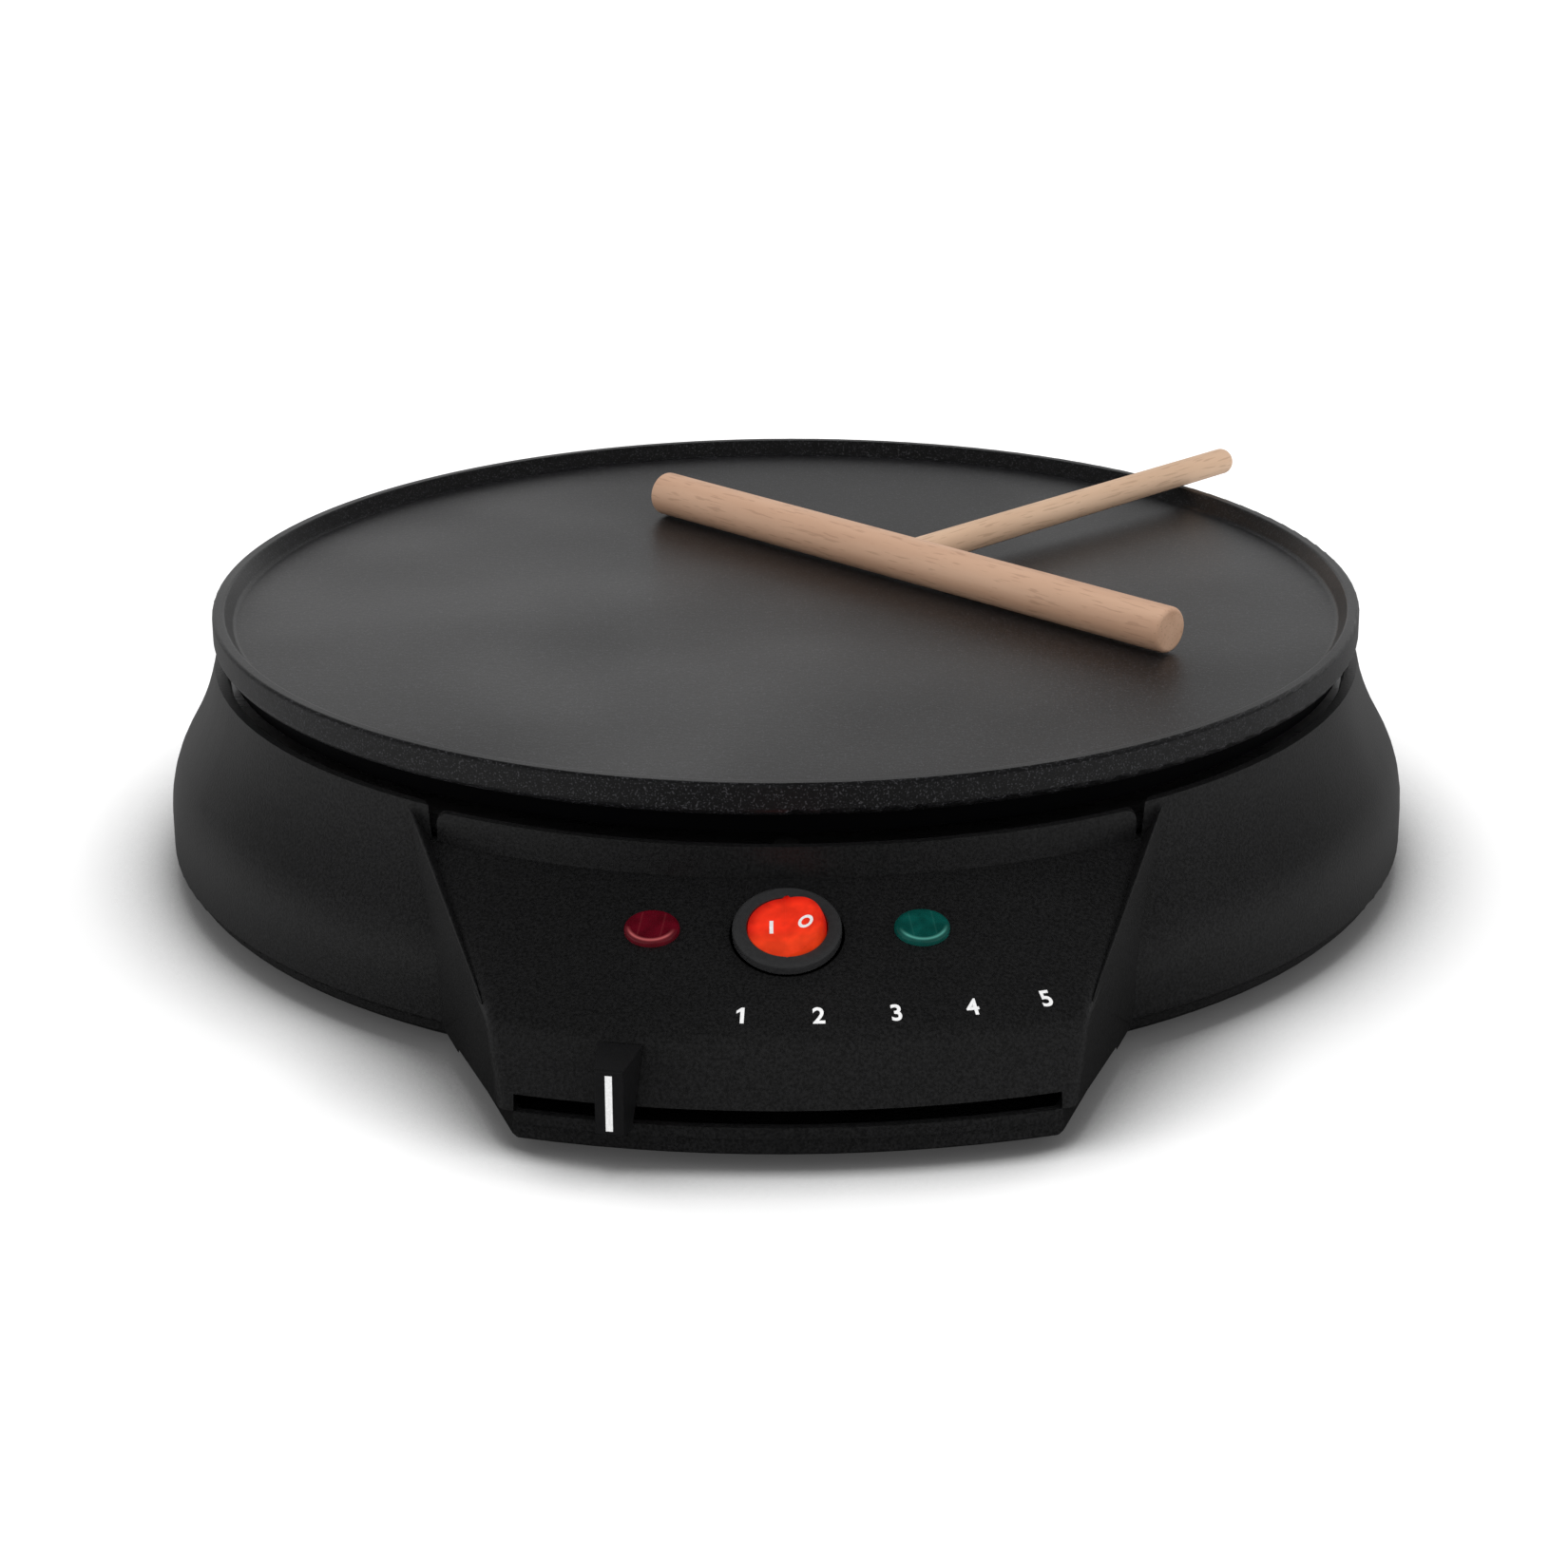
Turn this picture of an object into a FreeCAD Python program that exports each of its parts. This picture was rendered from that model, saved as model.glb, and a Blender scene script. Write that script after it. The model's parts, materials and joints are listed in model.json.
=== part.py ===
import FreeCAD, Part
import math
import os

os.makedirs("parts", exist_ok=True)
V = FreeCAD.Vector

# Electric crepe maker: round cast plate on a bowl-shaped housing with a control nose in front.
# Millimetres; Z is up from the table; the front (nose and slider) looks along -Y.
# Shapes are drawn about the plate's own axis and moved back by AXIS_Y when written out.

# Cooking plate
PLATE_R = 150.0          # outer radius of the cooking plate
PLATE_RIM_Z = 70.0       # top of the plate's raised rim above the table
PLATE_EDGE_H = 8.0       # height of the plate's outer edge
PLATE_LIP_H = 4.0        # depth of the cooking dish below the rim
PLATE_LIP_W = 3.0        # flat width of the rim
PLATE_LIP_SLOPE = 2.5    # run of the dish's sloped inner wall
SKIRT_W = 3.0            # thickness of the recessed skirt under the plate
SKIRT_H = 5.0            # drop of the skirt below the plate
SKIRT_IN = 4.0           # how far the skirt is set in from the plate's edge
BOSS_R = 7.0             # screw bosses under the plate
BOSS_H = 4.0
BOSS_RING_R = 60.0       # circle the bosses stand on
BOSS_COUNT = 3

# Housing
WALL = 2.2               # moulded wall
FLARE = 12.9             # how far the foot of the flank stands out past the plate
PLATE_GAP = 6.2          # dark gap between plate edge and housing rim
FLANK_Z = 7.5            # lower edge of the flank
FLANK_BEND_Z = 18.0      # where the flank starts to turn inwards
FLANK_WAIST_Z = 33.5     # where its curve turns from convex to hollow
FLANK_WAIST_IN = 4.3     # inward run of the convex part
FLANK_EDGE_R = 1.2
RIM_W = 3.0              # width of the housing's top rim
RIM_STEP = 1.0           # height of the fine step on it
LEDGE_DROP = 4.8         # from the rim down to the inner ledge
LEDGE_W = 5.9
LEDGE_T = 2.0

# Nose
PANEL_SLOPE = 24.0       # control panel, degrees below horizontal
PANEL_TOP_UP = 48.2      # height where the panel meets the neck
PANEL_RUN = 42.5         # radial run from the neck to the ridge
NECK_STEP = 2.3          # neck-side radius of the panel beyond the plate's radius
FRONT_LEAN = 21.3        # front wall, degrees from vertical
RIDGE_R = 6.0            # rounding of the ridge
SLOT_TOP_Z = 13.9        # upper edge of the slider slot
SLOT_HALF_W = 59.8
LEG_GAP = 0.1            # fine joint between housing legs and tray lip
NOSE_HALF_W = 63.1       # half width at the front corners
NOSE_CORNER_IN = 0.4     # front corners behind the tray lip, along the radius
CHEEK_ANGLE = 18.84      # plan angle of the cheeks
CHEEK_EDGE_R = 3.5
NOSE_RISE = 2.9          # how far the cheek's lower edge climbs towards the front
NOSE_RISE_RUN = 51.3
BAND_HALF_W = 80.9       # upright band above the panel
BAND_T = 2.0
BAND_CORNER_R = 3.0
NOTCH_INSET = 2.5        # neck cut away between the cheeks, set in from them
NOTCH_GAP = 1.1          # air behind the upright band

# Bottom cover
COVER_Z = 3.6            # underside above the table
COVER_T = 2.5
COVER_WALL = 2.0
COVER_GAP = 0.3          # clearance inside the housing wall
COVER_TOP_Z = 10.4       # top of the cover's rim and of the tray lip
TRAY_OUT = 1.2           # how far the tray lip stands out below the front wall
TRAY_STEP_Z = 7.7
TRAY_STEP_IN = 0.7
COVER_CHAMFER = 1.2
VENT_COUNT = 20
VENT_W = 3.0
VENT_L = 26.0
VENT_RING_R = 78.0

# Feet and case screws
FOOT_R = 9.5
FOOT_TAPER = 1.0
FOOT_PLUG_R = 3.4
FRONT_FOOT_X = 45.0
FRONT_FOOT_IN = 19.5     # behind the nose's front corners
REAR_FOOT_ANGLE = 134.4
REAR_FOOT_IN = 25.7      # inside the flank
POST_R = 4.5
POST_IN = 1.0            # screw posts' circle inside the plate's radius
POST_ANGLES = (30.0, 150.0, 210.0, 330.0)
POST_BASE_Z = 9.0
CASE_SCREW_R = 1.5
CASE_SCREW_HEAD_R = 3.3
CASE_SCREW_HEAD_H = 2.4
CASE_SCREW_L = 16.0

# Reflector, heater and plate fixings
REFLECTOR_T = 1.0
REFLECTOR_DEPTH = 9.0    # from the flange down to the floor
REFLECTOR_FLANGE_W = 12.4
REFLECTOR_SLOPE_RUN = 7.6
RIVET_IN = 2.0           # screws' circle inside the reflector's edge
RIVET_ANGLES = (0.0, 120.0, 240.0)
RIVET_R = 1.3
RIVET_HEAD_R = 2.8
RIVET_HEAD_H = 1.8
RIVET_BOSS_R = 3.4
RIVET_BOSS_H = 6.0
TUBE_R = 3.5             # tubular heating element
TUBE_GAP = 0.2           # clearance under the plate
HEATER_RING_R = 100.0
HEATER_OPENING = 26.0    # degrees left open at the back
HEATER_BEND_R = 10.0
HEATER_LEG_L = 12.0
HEATER_PIN_R = 1.6
HEATER_PIN_L = 10.0
BUSHING_R = 5.8
BUSHING_FLANGE_R = 8.0
BUSHING_BELOW = 3.0
BUSHING_FLANGE_T = 2.0
STANDOFF_R = 5.0
STANDOFF_BORE_R = 2.6
PLATE_SCREW_R = 2.1
PLATE_SCREW_HEAD_R = 4.4
PLATE_SCREW_HEAD_H = 3.0
PLATE_SCREW_BITE = 5.0
SCREW_CLEARANCE = 0.05

# Thermostat and slider
THERMOSTAT_W = 34.0
THERMOSTAT_D = 28.0
THERMOSTAT_H = 16.0
THERMOSTAT_NECK_R = 5.0
THERMOSTAT_NECK_H = 4.0
BRACKET_L = 56.0
BRACKET_W = 18.0
BRACKET_T = 1.0
BRACKET_RIVET_X = 23.0
SHAFT_R = 3.0
SHAFT_REACH = 11.0       # length of shaft inside the thermostat
SHAFT_CLEARANCE = 0.12
LEVER_Z = 11.3           # underside of the lever
LEVER_T = 1.7
LEVER_HUB_R = 7.0
LEVER_HUB_H = 6.0
LEVER_ROOT_W = 12.0
LEVER_TIP_W = 5.0
LEVER_BITE = 3.0         # depth of the lever in the knob
KNOB_REST_ANGLE = -10.6  # slider at rest, degrees from the front, minus is to the left
KNOB_FRONT_W = 6.4
KNOB_BACK_W = 10.2
KNOB_DEPTH = 6.2         # from the tray lip to the knob's front face
KNOB_BOTTOM_Z = 10.0
KNOB_FRONT_H = 15.4
KNOB_TOP_RISE = 1.2
KNOB_GAP = 0.9           # clearance to the front wall and tray lip
POINTER_W = 1.55
POINTER_H = 13.0
POINTER_DEPTH = 0.5
POINTER_PROUD = 0.1

# Panel controls
SWITCH_UP = 29.6         # distance along the panel from ridge to switch centre
BEZEL_R = 12.2
BEZEL_H = 2.5
BEZEL_EDGE_R = 0.9
OPENING_R = 9.0
SWITCH_BODY_R = 9.9
SWITCH_BODY_H = 16.0
SWITCH_CAVITY_H = 9.0
ROCKER_GAP = 0.2
ROCKER_PIVOT_DROP = 1.2  # pivot below the bezel's top
ROCKER_WAIST = 0.8       # thickness of rocker above its pivot
ROCKER_VALLEY = 12.0     # slope of each rocker face, degrees
ROCKER_TILT = 12.0       # tilt at rest, left side pressed
ROCKER_FOOT = 5.0        # depth of rocker below its pivot
ROCKER_PIN_R = 1.1
ROCKER_PIN_REACH = 0.5
BLADE_W = 4.8
BLADE_T = 0.8
BLADE_L = 7.0
BLADE_PITCH = 5.5
LAMP_ANGLE = 10.3        # plan angle of each lamp from the centre line
LAMP_UP = 29.4           # distance along the panel from ridge to lamp centre
LENS_HALF_W = 6.3
LENS_HALF_D = 5.25
LENS_H = 1.7
LENS_EDGE_R = 1.3
LENS_STEM_R = 3.5
LENS_STEM_L = 9.0
LENS_BORE_R = 2.6
LAMP_GAP = 0.3
RETAINER_R = 6.0
RETAINER_T = 1.2

# Rear cord inlet and inner electrics
GLAND_Z = 19.0
GLAND_PAD_R = 8.4
GLAND_PAD_T = 0.4
GLAND_SEAT_T = 1.8       # inner thickness of the pad behind the wall
GLAND_FLANGE_R = 8.0
GLAND_FLANGE_T = 2.5
GLAND_NECK_R = 6.0
GLAND_BORE_R = 3.6
GLAND_NUT_T = 3.0
GLAND_TAIL_L = 7.0
BLOCK_L = 34.0
BLOCK_W = 16.0
BLOCK_H = 12.0
BLOCK_IN = 50.9          # terminal block inside the rear wall
FUSE_R = 2.2
FUSE_L = 16.0
FUSE_LEAD_R = 0.6
FUSE_LEAD_L = 6.0
FUSE_AT = (-42.0, -34.0)
CLIP_W = 7.0
CLIP_T = 0.8

# Batter spreader lying on the plate
BAR_R = 6.0
BAR_L = 184.0
BAR_AT = (31.2, 17.0)
BAR_ANGLE = -44.5
BAR_EDGE_R = 1.2
REST_GAP = 0.3           # fine gap under the resting spreader
HANDLE_ANGLE = 42.4
HANDLE_L = 133.0
HANDLE_ROOT_R = 4.0
HANDLE_TIP_R = 3.65
TENON_R = 2.9
TENON_GAP = 0.1
TENON_L = 4.0

# Heights and radii that follow from the sizes above
SURFACE_Z = PLATE_RIM_Z - PLATE_LIP_H
PLATE_UNDER_Z = PLATE_RIM_Z - PLATE_EDGE_H
HOUSING_R = PLATE_R + FLARE
RIM_Z = PLATE_UNDER_Z - PLATE_GAP
LEDGE_Z = RIM_Z - LEDGE_DROP
PANEL_TOP_R = PLATE_R + NECK_STEP
SLOPE = math.radians(PANEL_SLOPE)
LEAN = math.radians(FRONT_LEAN)
CHEEK = math.radians(CHEEK_ANGLE)
RIDGE_AT_R = PANEL_TOP_R + PANEL_RUN
RIDGE_Z = PANEL_TOP_UP - PANEL_RUN * math.tan(SLOPE)
TRAY_R = RIDGE_AT_R + (RIDGE_Z - SLOT_TOP_Z) * math.tan(LEAN) + TRAY_OUT
NOSE_CORNER_Y = -math.sqrt((TRAY_R - NOSE_CORNER_IN) ** 2 - NOSE_HALF_W ** 2)
POST_RING_R = PLATE_R - POST_IN
REFLECTOR_FLANGE_R = PLATE_R - SKIRT_IN
RIVET_RING_R = REFLECTOR_FLANGE_R - RIVET_IN
REFLECTOR_FLOOR_Z = LEDGE_Z - REFLECTOR_DEPTH
BAR_Z = SURFACE_Z + REST_GAP + BAR_R


def plan(radius, degrees, z=0.0):
    """Point at a plan angle measured from the front, plus to the right."""
    turn = math.radians(degrees)
    return V(radius * math.sin(turn), -radius * math.cos(turn), z)


def ring_points(radius, count, z=0.0):
    """Evenly spread points on a circle."""
    return [plan(radius, 360.0 * i / count, z) for i in range(count)]


def rounded_outline(corners):
    """Closed wire in the XZ plane; a corner is (x, z) or (x, z, radius)."""
    edges = []
    marks = []
    for i, corner in enumerate(corners):
        here = V(corner[0], 0, corner[1])
        before = V(corners[i - 1][0], 0, corners[i - 1][1])
        follow = corners[(i + 1) % len(corners)]
        after = V(follow[0], 0, follow[1])
        radius = corner[2] if len(corner) > 2 else 0.0
        if radius <= 0:
            marks.append((here, None, here))
            continue
        into = (before - here).normalize()
        away = (after - here).normalize()
        half = into.getAngle(away) / 2
        reach = radius / math.tan(half)
        middle = (into + away).normalize()
        bulge = here + middle * (radius / math.sin(half) - radius)
        marks.append((here + into * reach, bulge, here + away * reach))
    for i, mark in enumerate(marks):
        if mark[1] is not None:
            edges.append(Part.Arc(mark[0], mark[1], mark[2]).toShape())
        start = mark[2]
        end = marks[(i + 1) % len(marks)][0]
        if start.distanceToPoint(end) > 1e-6:
            edges.append(Part.makeLine(start, end))
    return Part.Wire(edges)


def turned(wire, sweep=360.0):
    """Solid of revolution about Z from a wire in the XZ plane."""
    return Part.Face(wire).revolve(V(0, 0, 0), V(0, 0, 1), sweep)


def turned_section(corners):
    """Solid of revolution from a list of rounded corners."""
    return turned(rounded_outline(corners))


def rod(radius, z0, z1, at=None):
    """Upright cylinder between two heights."""
    foot = at if at is not None else V(0, 0, 0)
    return Part.makeCylinder(radius, z1 - z0, V(foot.x, foot.y, z0))


def tube(outer, inner, z0, z1, at=None):
    """Upright tube between two heights."""
    return rod(outer, z0, z1, at).cut(rod(inner, z0 - 1, z1 + 1, at))


def block(x0, x1, y0, y1, z0, z1):
    """Box given by its limits."""
    return Part.makeBox(x1 - x0, y1 - y0, z1 - z0, V(x0, y0, z0))


def prism(points, z0, z1):
    """Upright prism over a closed plan outline."""
    corners = [V(p[0], p[1], z0) for p in points]
    face = Part.Face(Part.makePolygon(corners + corners[:1]))
    return face.extrude(V(0, 0, z1 - z0))


def fused(shapes):
    """One solid from several."""
    return shapes[0].multiFuse(shapes[1:]).removeSplitter()


def tangent_arc(start, heading, end):
    """Arc leaving start along heading and ending at end, in the XZ plane."""
    chord = end - start
    side = V(-heading.z, 0, heading.x).normalize()
    radius = chord.dot(chord) / (2 * side.dot(chord))
    centre = start + side * radius
    outward = ((start + end) * 0.5 - centre).normalize()
    return Part.Arc(start, centre + outward * abs(radius), end).toShape()


def panel_frame(angle, up):
    """Placement on the panel: X along it, Y up the slope, Z straight out."""
    radius = RIDGE_AT_R - up * math.cos(SLOPE)
    height = RIDGE_Z + up * math.sin(SLOPE)
    turn = math.radians(angle)
    out = V(math.sin(turn), -math.cos(turn), 0)
    along = V(math.cos(turn), math.sin(turn), 0)
    slope = out * -math.cos(SLOPE) + V(0, 0, math.sin(SLOPE))
    normal = out * math.sin(SLOPE) + V(0, 0, math.cos(SLOPE))
    at = out * radius + V(0, 0, height)
    matrix = FreeCAD.Matrix(along.x, slope.x, normal.x, at.x,
                            along.y, slope.y, normal.y, at.y,
                            along.z, slope.z, normal.z, at.z,
                            0, 0, 0, 1)
    return FreeCAD.Placement(matrix)


def placed(shape, placement):
    """Copy of a shape moved into a placement."""
    moved = shape.copy()
    moved.Placement = placement.multiply(moved.Placement)
    return moved


def cheek_x(y, inset):
    """Half width of the nose at a depth, set in by a wall."""
    return NOSE_HALF_W + (y - NOSE_CORNER_Y) * math.tan(CHEEK) - inset / math.cos(CHEEK)


def nose_plan(inset, z0, z1):
    """Upright wedge between the two cheeks."""
    front = -PLATE_R * 1.6
    back = -PLATE_R * 0.72
    wide = cheek_x(back, inset)
    slim = cheek_x(front, inset)
    return prism([(-wide, back), (-slim, front), (slim, front), (wide, back)], z0, z1)


def nose_form(inset, z0):
    """Nose body: turned panel, ridge and front wall cut to the cheeks."""
    drop = inset / math.cos(SLOPE)
    back = inset / math.cos(LEAN)
    top_z = PANEL_TOP_UP - drop
    root = PLATE_R * 0.9
    run = math.tan(LEAN)
    fall = math.tan(SLOPE)
    # The panel line and the front wall line, both set in, meet at the ridge.
    front_r = RIDGE_AT_R - back
    ridge_r = (RIDGE_Z - PANEL_TOP_UP + drop + front_r / run - PANEL_TOP_R * fall) / (1 / run - fall)
    ridge_z = top_z - (ridge_r - PANEL_TOP_R) * fall
    foot_r = ridge_r + (ridge_z - z0) * run
    section = [(root, z0), (foot_r, z0), (ridge_r, ridge_z, max(RIDGE_R - inset, 1.0)),
               (PANEL_TOP_R, top_z), (root, top_z)]
    return turned_section(section).common(nose_plan(inset, z0 - 1, PLATE_RIM_Z))


def cheek_edges(shape, z0):
    """Edges where the cheeks meet the panel, ridge and front wall."""
    found = []
    for edge in shape.Edges:
        first, last = edge.ParameterRange
        points = [edge.valueAt(first + (last - first) * t) for t in (0.0, 0.5, 1.0)]
        off = max(abs(abs(p.x) - cheek_x(p.y, 0)) for p in points)
        low = max(p.z for p in points) < z0 + 0.5
        inner = max(math.hypot(p.x, p.y) for p in points) < PANEL_TOP_R + 1
        if off < 0.01 and not low and not inner:
            found.append(edge)
    return found


def nose_outer():
    """Outside of the nose with rounded cheek edges and climbing lower edge."""
    body = nose_form(0, FLANK_Z)
    body = body.makeFillet(CHEEK_EDGE_R, cheek_edges(body, FLANK_Z))
    start = NOSE_CORNER_Y + NOSE_RISE_RUN
    far = NOSE_CORNER_Y - NOSE_RISE_RUN
    climb = FLANK_Z + 2 * NOSE_RISE
    outline = [V(0, start, FLANK_Z), V(0, far, climb), V(0, far, 0), V(0, start, 0)]
    face = Part.Face(Part.makePolygon(outline + outline[:1]))
    wedge = face.extrude(V(PLATE_R, 0, 0))
    wedge.translate(V(-PLATE_R / 2, 0, 0))
    return body.cut(wedge)


def flank_form(inset, z0, z1):
    """Turned bowl of the housing, set in by a wall, between two heights."""
    foot = HOUSING_R - inset
    waist = foot - FLANK_WAIST_IN
    neck = PLATE_R - inset
    bend = V(foot, 0, FLANK_BEND_Z)
    middle = V(waist, 0, FLANK_WAIST_Z)
    top = V(neck, 0, RIM_Z)
    half = math.atan2(FLANK_WAIST_IN, FLANK_WAIST_Z - FLANK_BEND_Z)
    heading = V(-math.sin(2 * half), 0, math.cos(2 * half))
    lift = FLANK_EDGE_R if inset == 0 else 0.0
    edges = [tangent_arc(bend, V(0, 0, 1), middle), tangent_arc(middle, heading, top)]
    if z1 > RIM_Z:
        edges.append(Part.makeLine(top, V(neck, 0, z1)))
    edges.append(Part.makeLine(V(neck, 0, z1), V(0, 0, z1)))
    edges.append(Part.makeLine(V(0, 0, z1), V(0, 0, z0)))
    edges.append(Part.makeLine(V(0, 0, z0), V(foot - lift, 0, z0)))
    if lift > 0:
        corner = lift * (1 - math.sqrt(0.5))
        edges.append(Part.Arc(V(foot - lift, 0, z0), V(foot - corner, 0, z0 + corner),
                              V(foot, 0, z0 + lift)).toShape())
    edges.append(Part.makeLine(V(foot, 0, z0 + lift), bend))
    return turned(Part.Wire(edges))


def upright_band():
    """Upright band standing on the neck above the panel."""
    outer = PANEL_TOP_R
    band = tube(outer, outer - BAND_T, PANEL_TOP_UP - WALL / 2, RIM_Z)
    band = band.common(block(-BAND_HALF_W, BAND_HALF_W, -PLATE_R * 1.1, 0, 0, PLATE_RIM_Z))
    ends = [e for e in band.Edges if min(v.Z for v in e.Vertexes) > RIM_Z - 0.01
            and e.Length < 2 * BAND_T]
    return band.makeFillet(BAND_CORNER_R, ends)


def neck_notch():
    """Part of the neck cut away between the cheeks, so that the band stands free."""
    wide = PLATE_R * 1.1
    behind = PANEL_TOP_R - BAND_T - NOTCH_GAP
    front = tube(wide, behind, PANEL_TOP_UP, PLATE_RIM_Z)
    over = tube(wide, PLATE_R - 2 * RIM_W, LEDGE_Z, PLATE_RIM_Z)
    return front.fuse(over).common(nose_plan(NOTCH_INSET, 0, PLATE_RIM_Z))


def upper_housing():
    """Moulded housing: bowl, nose, rim, ledge, posts and all its holes."""
    outer = flank_form(0, FLANK_Z, RIM_Z).fuse(nose_outer())
    rim_inner = PLATE_R - RIM_W
    shell = outer.cut(flank_form(WALL, FLANK_Z - 1, RIM_Z + 1).fuse(nose_form(WALL, 0)))
    inner = [tube(PLATE_R - WALL / 2, rim_inner, LEDGE_Z - LEDGE_T, RIM_Z - RIM_STEP),
             tube(PLATE_R - WALL / 2, rim_inner - LEDGE_W + RIM_W - WALL, LEDGE_Z - LEDGE_T, LEDGE_Z)]
    for angle in POST_ANGLES:
        inner.append(rod(POST_R, POST_BASE_Z, LEDGE_Z - LEDGE_T / 2, plan(POST_RING_R, angle)))
    for angle in RIVET_ANGLES:
        inner.append(rod(RIVET_BOSS_R, LEDGE_Z - LEDGE_T - RIVET_BOSS_H, LEDGE_Z - LEDGE_T / 2,
                         plan(RIVET_RING_R, angle)))
    features = fused(inner).common(outer)
    pad = Part.makeCylinder(GLAND_PAD_R, gland_face_y() - gland_seat_y(),
                            V(0, gland_seat_y(), GLAND_Z), V(0, 1, 0))
    body = fused([shell, features, pad]).cut(neck_notch()).fuse(upright_band())
    for angle in POST_ANGLES:
        body = body.cut(rod(CASE_SCREW_R + SCREW_CLEARANCE, 0, POST_BASE_Z + CASE_SCREW_L,
                            plan(POST_RING_R, angle)))
    for angle in RIVET_ANGLES:
        body = body.cut(rod(RIVET_R + SCREW_CLEARANCE, LEDGE_Z - RIVET_BOSS_H - 1, LEDGE_Z + 1,
                            plan(RIVET_RING_R, angle)))
    front = -PLATE_R * 1.6
    body = body.cut(block(-SLOT_HALF_W, SLOT_HALF_W, front, NOSE_CORNER_Y + WALL, 0, SLOT_TOP_Z))
    body = body.cut(block(-NOSE_HALF_W * 2, NOSE_HALF_W * 2, front, NOSE_CORNER_Y + 4 * WALL,
                          0, COVER_TOP_Z + LEG_GAP))
    body = body.cut(placed(rod(SWITCH_BODY_R + 0.2, -2 * WALL, WALL), panel_frame(0, SWITCH_UP)))
    for side in (-1, 1):
        hole = rod(LENS_STEM_R + 0.2, -2 * WALL, WALL)
        body = body.cut(placed(hole, panel_frame(side * LAMP_ANGLE, LAMP_UP)))
    bore = Part.makeCylinder(GLAND_NECK_R + 0.1, 20, V(0, HOUSING_R - 10, GLAND_Z), V(0, 1, 0))
    return body.cut(bore)


def cover_form(inset, z0, z1):
    """Plan of the bottom cover: disc and nose in one."""
    disc = rod(HOUSING_R - WALL - COVER_GAP - inset, z0, z1)
    nose = nose_plan(WALL + COVER_GAP + inset, z0, z1).common(tube(TRAY_R - inset, PLATE_R * 0.9, z0, z1))
    return disc.fuse(nose).removeSplitter()


def vent_slots():
    """Radial air slots in the floor of the cover."""
    slots = []
    for i in range(VENT_COUNT):
        slot = block(-VENT_W / 2, VENT_W / 2, VENT_RING_R - VENT_L / 2, VENT_RING_R + VENT_L / 2,
                     COVER_Z - 1, COVER_Z + COVER_T + 1)
        slot.rotate(V(0, 0, 0), V(0, 0, 1), 360.0 * (i + 0.5) / VENT_COUNT)
        slots.append(slot)
    return slots


def foot_points():
    """Where the four feet stand."""
    front = [V(side * FRONT_FOOT_X, NOSE_CORNER_Y + FRONT_FOOT_IN, 0) for side in (-1, 1)]
    return front + [plan(HOUSING_R - REAR_FOOT_IN, side * REAR_FOOT_ANGLE) for side in (-1, 1)]


def bottom_cover():
    """Floor of the case with its rim, tray lip, screw bosses and vents."""
    outer = cover_form(0, COVER_Z, COVER_TOP_Z)
    under = [e for e in outer.Edges if max(v.Z for v in e.Vertexes) < COVER_Z + 0.01]
    outer = outer.makeChamfer(COVER_CHAMFER, under)
    step = tube(TRAY_R + 1, TRAY_R - TRAY_STEP_IN, COVER_Z - 1, TRAY_STEP_Z)
    outer = outer.cut(step.common(block(-PLATE_R, PLATE_R, -PLATE_R * 2, -PLATE_R, 0, PLATE_RIM_Z)))
    body = outer.cut(cover_form(COVER_WALL, COVER_Z + COVER_T, PLATE_RIM_Z))
    bosses = [rod(POST_R + 0.5, COVER_Z + COVER_T / 2, POST_BASE_Z, plan(POST_RING_R, a))
              for a in POST_ANGLES]
    body = fused([body] + bosses)
    cuts = vent_slots()
    for angle in POST_ANGLES:
        at = plan(POST_RING_R, angle)
        cuts.append(rod(CASE_SCREW_R + 0.2, 0, PLATE_RIM_Z, at))
        cuts.append(rod(CASE_SCREW_HEAD_R + 0.4, 0, COVER_Z + COVER_T + 0.5, at))
    for at in foot_points():
        cuts.append(rod(FOOT_PLUG_R + 0.1, 0, PLATE_RIM_Z, at))
    for cutter in cuts:
        body = body.cut(cutter)
    return body


def rubber_feet():
    """Four tapered feet with plugs snapped into the cover."""
    feet = []
    for at in foot_points():
        pad = Part.makeCone(FOOT_R - FOOT_TAPER, FOOT_R, COVER_Z, at)
        plug = rod(FOOT_PLUG_R, COVER_Z - 1, COVER_Z + COVER_T, at)
        barb = Part.makeCone(FOOT_PLUG_R + 1.2, FOOT_PLUG_R - 0.4, 1.8, at + V(0, 0, COVER_Z + COVER_T))
        feet.append(fused([pad, plug, barb]))
    return Part.makeCompound(feet)


def case_screws():
    """Screws from below that hold cover and housing together."""
    screws = []
    for angle in POST_ANGLES:
        at = plan(POST_RING_R, angle)
        seat = COVER_Z + COVER_T + 0.5
        head = rod(CASE_SCREW_HEAD_R, seat - CASE_SCREW_HEAD_H, seat, at)
        shank = rod(CASE_SCREW_R, seat - 1, POST_BASE_Z + CASE_SCREW_L - 1, at)
        slot = block(at.x - CASE_SCREW_HEAD_R, at.x + CASE_SCREW_HEAD_R, at.y - 0.5, at.y + 0.5,
                     0, seat - CASE_SCREW_HEAD_H / 2)
        screws.append(fused([head, shank]).cut(slot))
    return Part.makeCompound(screws)


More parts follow.
